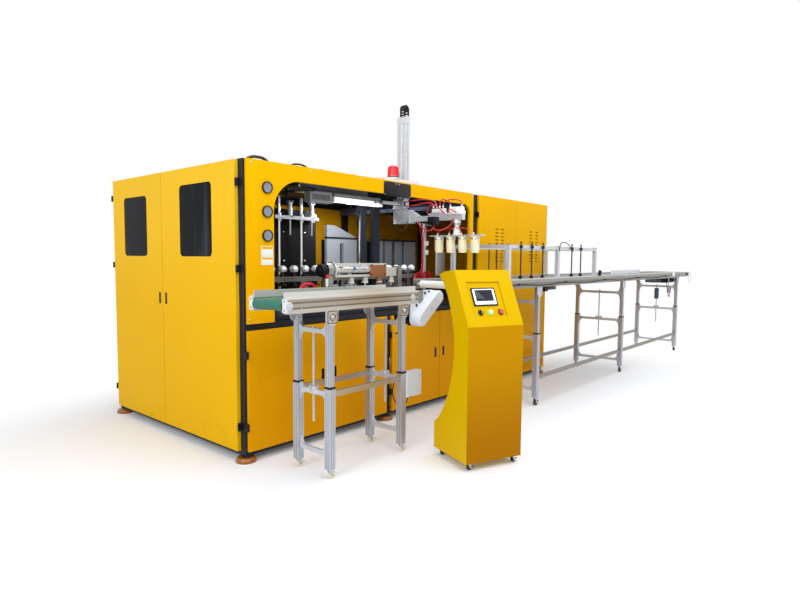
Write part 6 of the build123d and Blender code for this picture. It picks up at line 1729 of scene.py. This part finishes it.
# %% Sky
SKY_THAT_LIGHTS = (0.42, 0.43, 0.45, 1)
SKY_THAT_SHOWS = (1, 1, 1, 1)
world = bpy.data.worlds.new("studio_sky")
world.use_nodes = True
sky = world.node_tree
sky_shader = sky.nodes["Background"]
rays = sky.nodes.new("ShaderNodeLightPath")
seen = rays.outputs["Is Camera Ray"]
for kind in ("Is Transmission Ray", "Is Glossy Ray"):
    either = sky.nodes.new("ShaderNodeMath")
    either.operation = "MAXIMUM"
    sky.links.new(seen, either.inputs[0])
    sky.links.new(rays.outputs[kind], either.inputs[1])
    seen = either.outputs[0]
level_mix = sky.nodes.new("ShaderNodeMix")
level_mix.data_type = "RGBA"
level_mix.inputs[6].default_value = SKY_THAT_LIGHTS
level_mix.inputs[7].default_value = SKY_THAT_SHOWS
sky.links.new(seen, level_mix.inputs[0])
sky.links.new(level_mix.outputs[2], sky_shader.inputs["Color"])
sky_shader.inputs["Strength"].default_value = 1.0
bpy.context.scene.world = world

# %% [markdown]
# A large lamp on the left and one in front could be one sun, but a sun's shadows are sharp.
# Wide area lamps make them soft. A small one stands for the work lamp's tube, one lies under
# the roof and shines down into the opening, and one hangs over the line for the belts.

# %% Lamps
def lamp(name, place, target, size, power):
    """A soft area lamp that faces a target."""
    light = bpy.data.lights.new(name, "AREA")
    light.shape = "RECTANGLE"
    light.size, light.size_y = size
    light.energy = power
    holder = bpy.data.objects.new(name, light)
    holder.matrix_world = moved(place) @ aim(Vector(place) - Vector(target))
    holder.visible_camera = False
    bpy.context.collection.objects.link(holder)


lamp("left_key", (-6.5, -1.5, 4.6), (0.0, 1.0, 1.2), (5.0, 4.0), 300)
lamp("front_fill", (0.6, -5.2, 5.4), (2.2, 0.0, 2.0), (7.0, 3.0), 190)
lamp("work_light", (1.485, 0.315, 2.052), (1.7, 1.6, 0.8), (0.62, 0.05), 14)
lamp("ceiling_bounce", (2.3, 1.2, 2.16), (2.3, 1.2001, 1.1), (1.4, 1.2), 10)
lamp("top_soft", (3.5, -1.0, 7.0), (3.5, 0.0, 0.0), (10.0, 6.0), 380)

# %% [markdown]
# The floor keeps the machine's shadow and turns into plain white further off. The white could
# be a backdrop, but its edge would show, so a mask of the distance from the line fades it in.

# %% Floor
FADE_START, FADE_END = 2.0, 3.5
LEAST_WHITE = 0.06
deselect()
bpy.ops.mesh.primitive_plane_add(size=90, location=(3, 0, 0))
floor = settle(bpy.context.object, "studio_floor")
floor_finish = Finish("studio_floor", 0.9, specular=0.0)
clouds = floor_finish.noise(0.5)
floor_finish.colour(floor_finish.mix(clouds, (0.88, 0.905, 0.94), (0.90, 0.925, 0.96)))
shift, turn, squeeze = (-1.0, 0.0, 0.0), (0.0, 0.0, 0.0), (0.6, 1.0, 1.0)
near_line = floor_finish.node("ShaderNodeMapping", {}, floor_finish.place, shift, turn, squeeze)
away = floor_finish.node("ShaderNodeVectorMath", {"operation": "LENGTH"}, near_line, out=1)
floor_tree = floor_finish.tree
white = floor_tree.nodes.new("ShaderNodeEmission")
blend = floor_tree.nodes.new("ShaderNodeMixShader")
whiteness = LEAST_WHITE + (1 - LEAST_WHITE) * away.ease(FADE_START, FADE_END)
floor_finish.fill(blend.inputs[0], whiteness)
floor_tree.links.new(floor_finish.shader.outputs[0], blend.inputs[1])
floor_tree.links.new(white.outputs[0], blend.inputs[2])
floor_tree.links.new(blend.outputs[0], floor_tree.nodes["Material Output"].inputs["Surface"])
floor.data.materials.append(floor_finish.material)
bpy.context.scene.view_settings.view_transform = "Standard"
print("studio ready")

# %% [markdown]
# ## The last step
#
# The pieces made here are counted.

# %% Count the pieces made
print("pieces made", len(made))
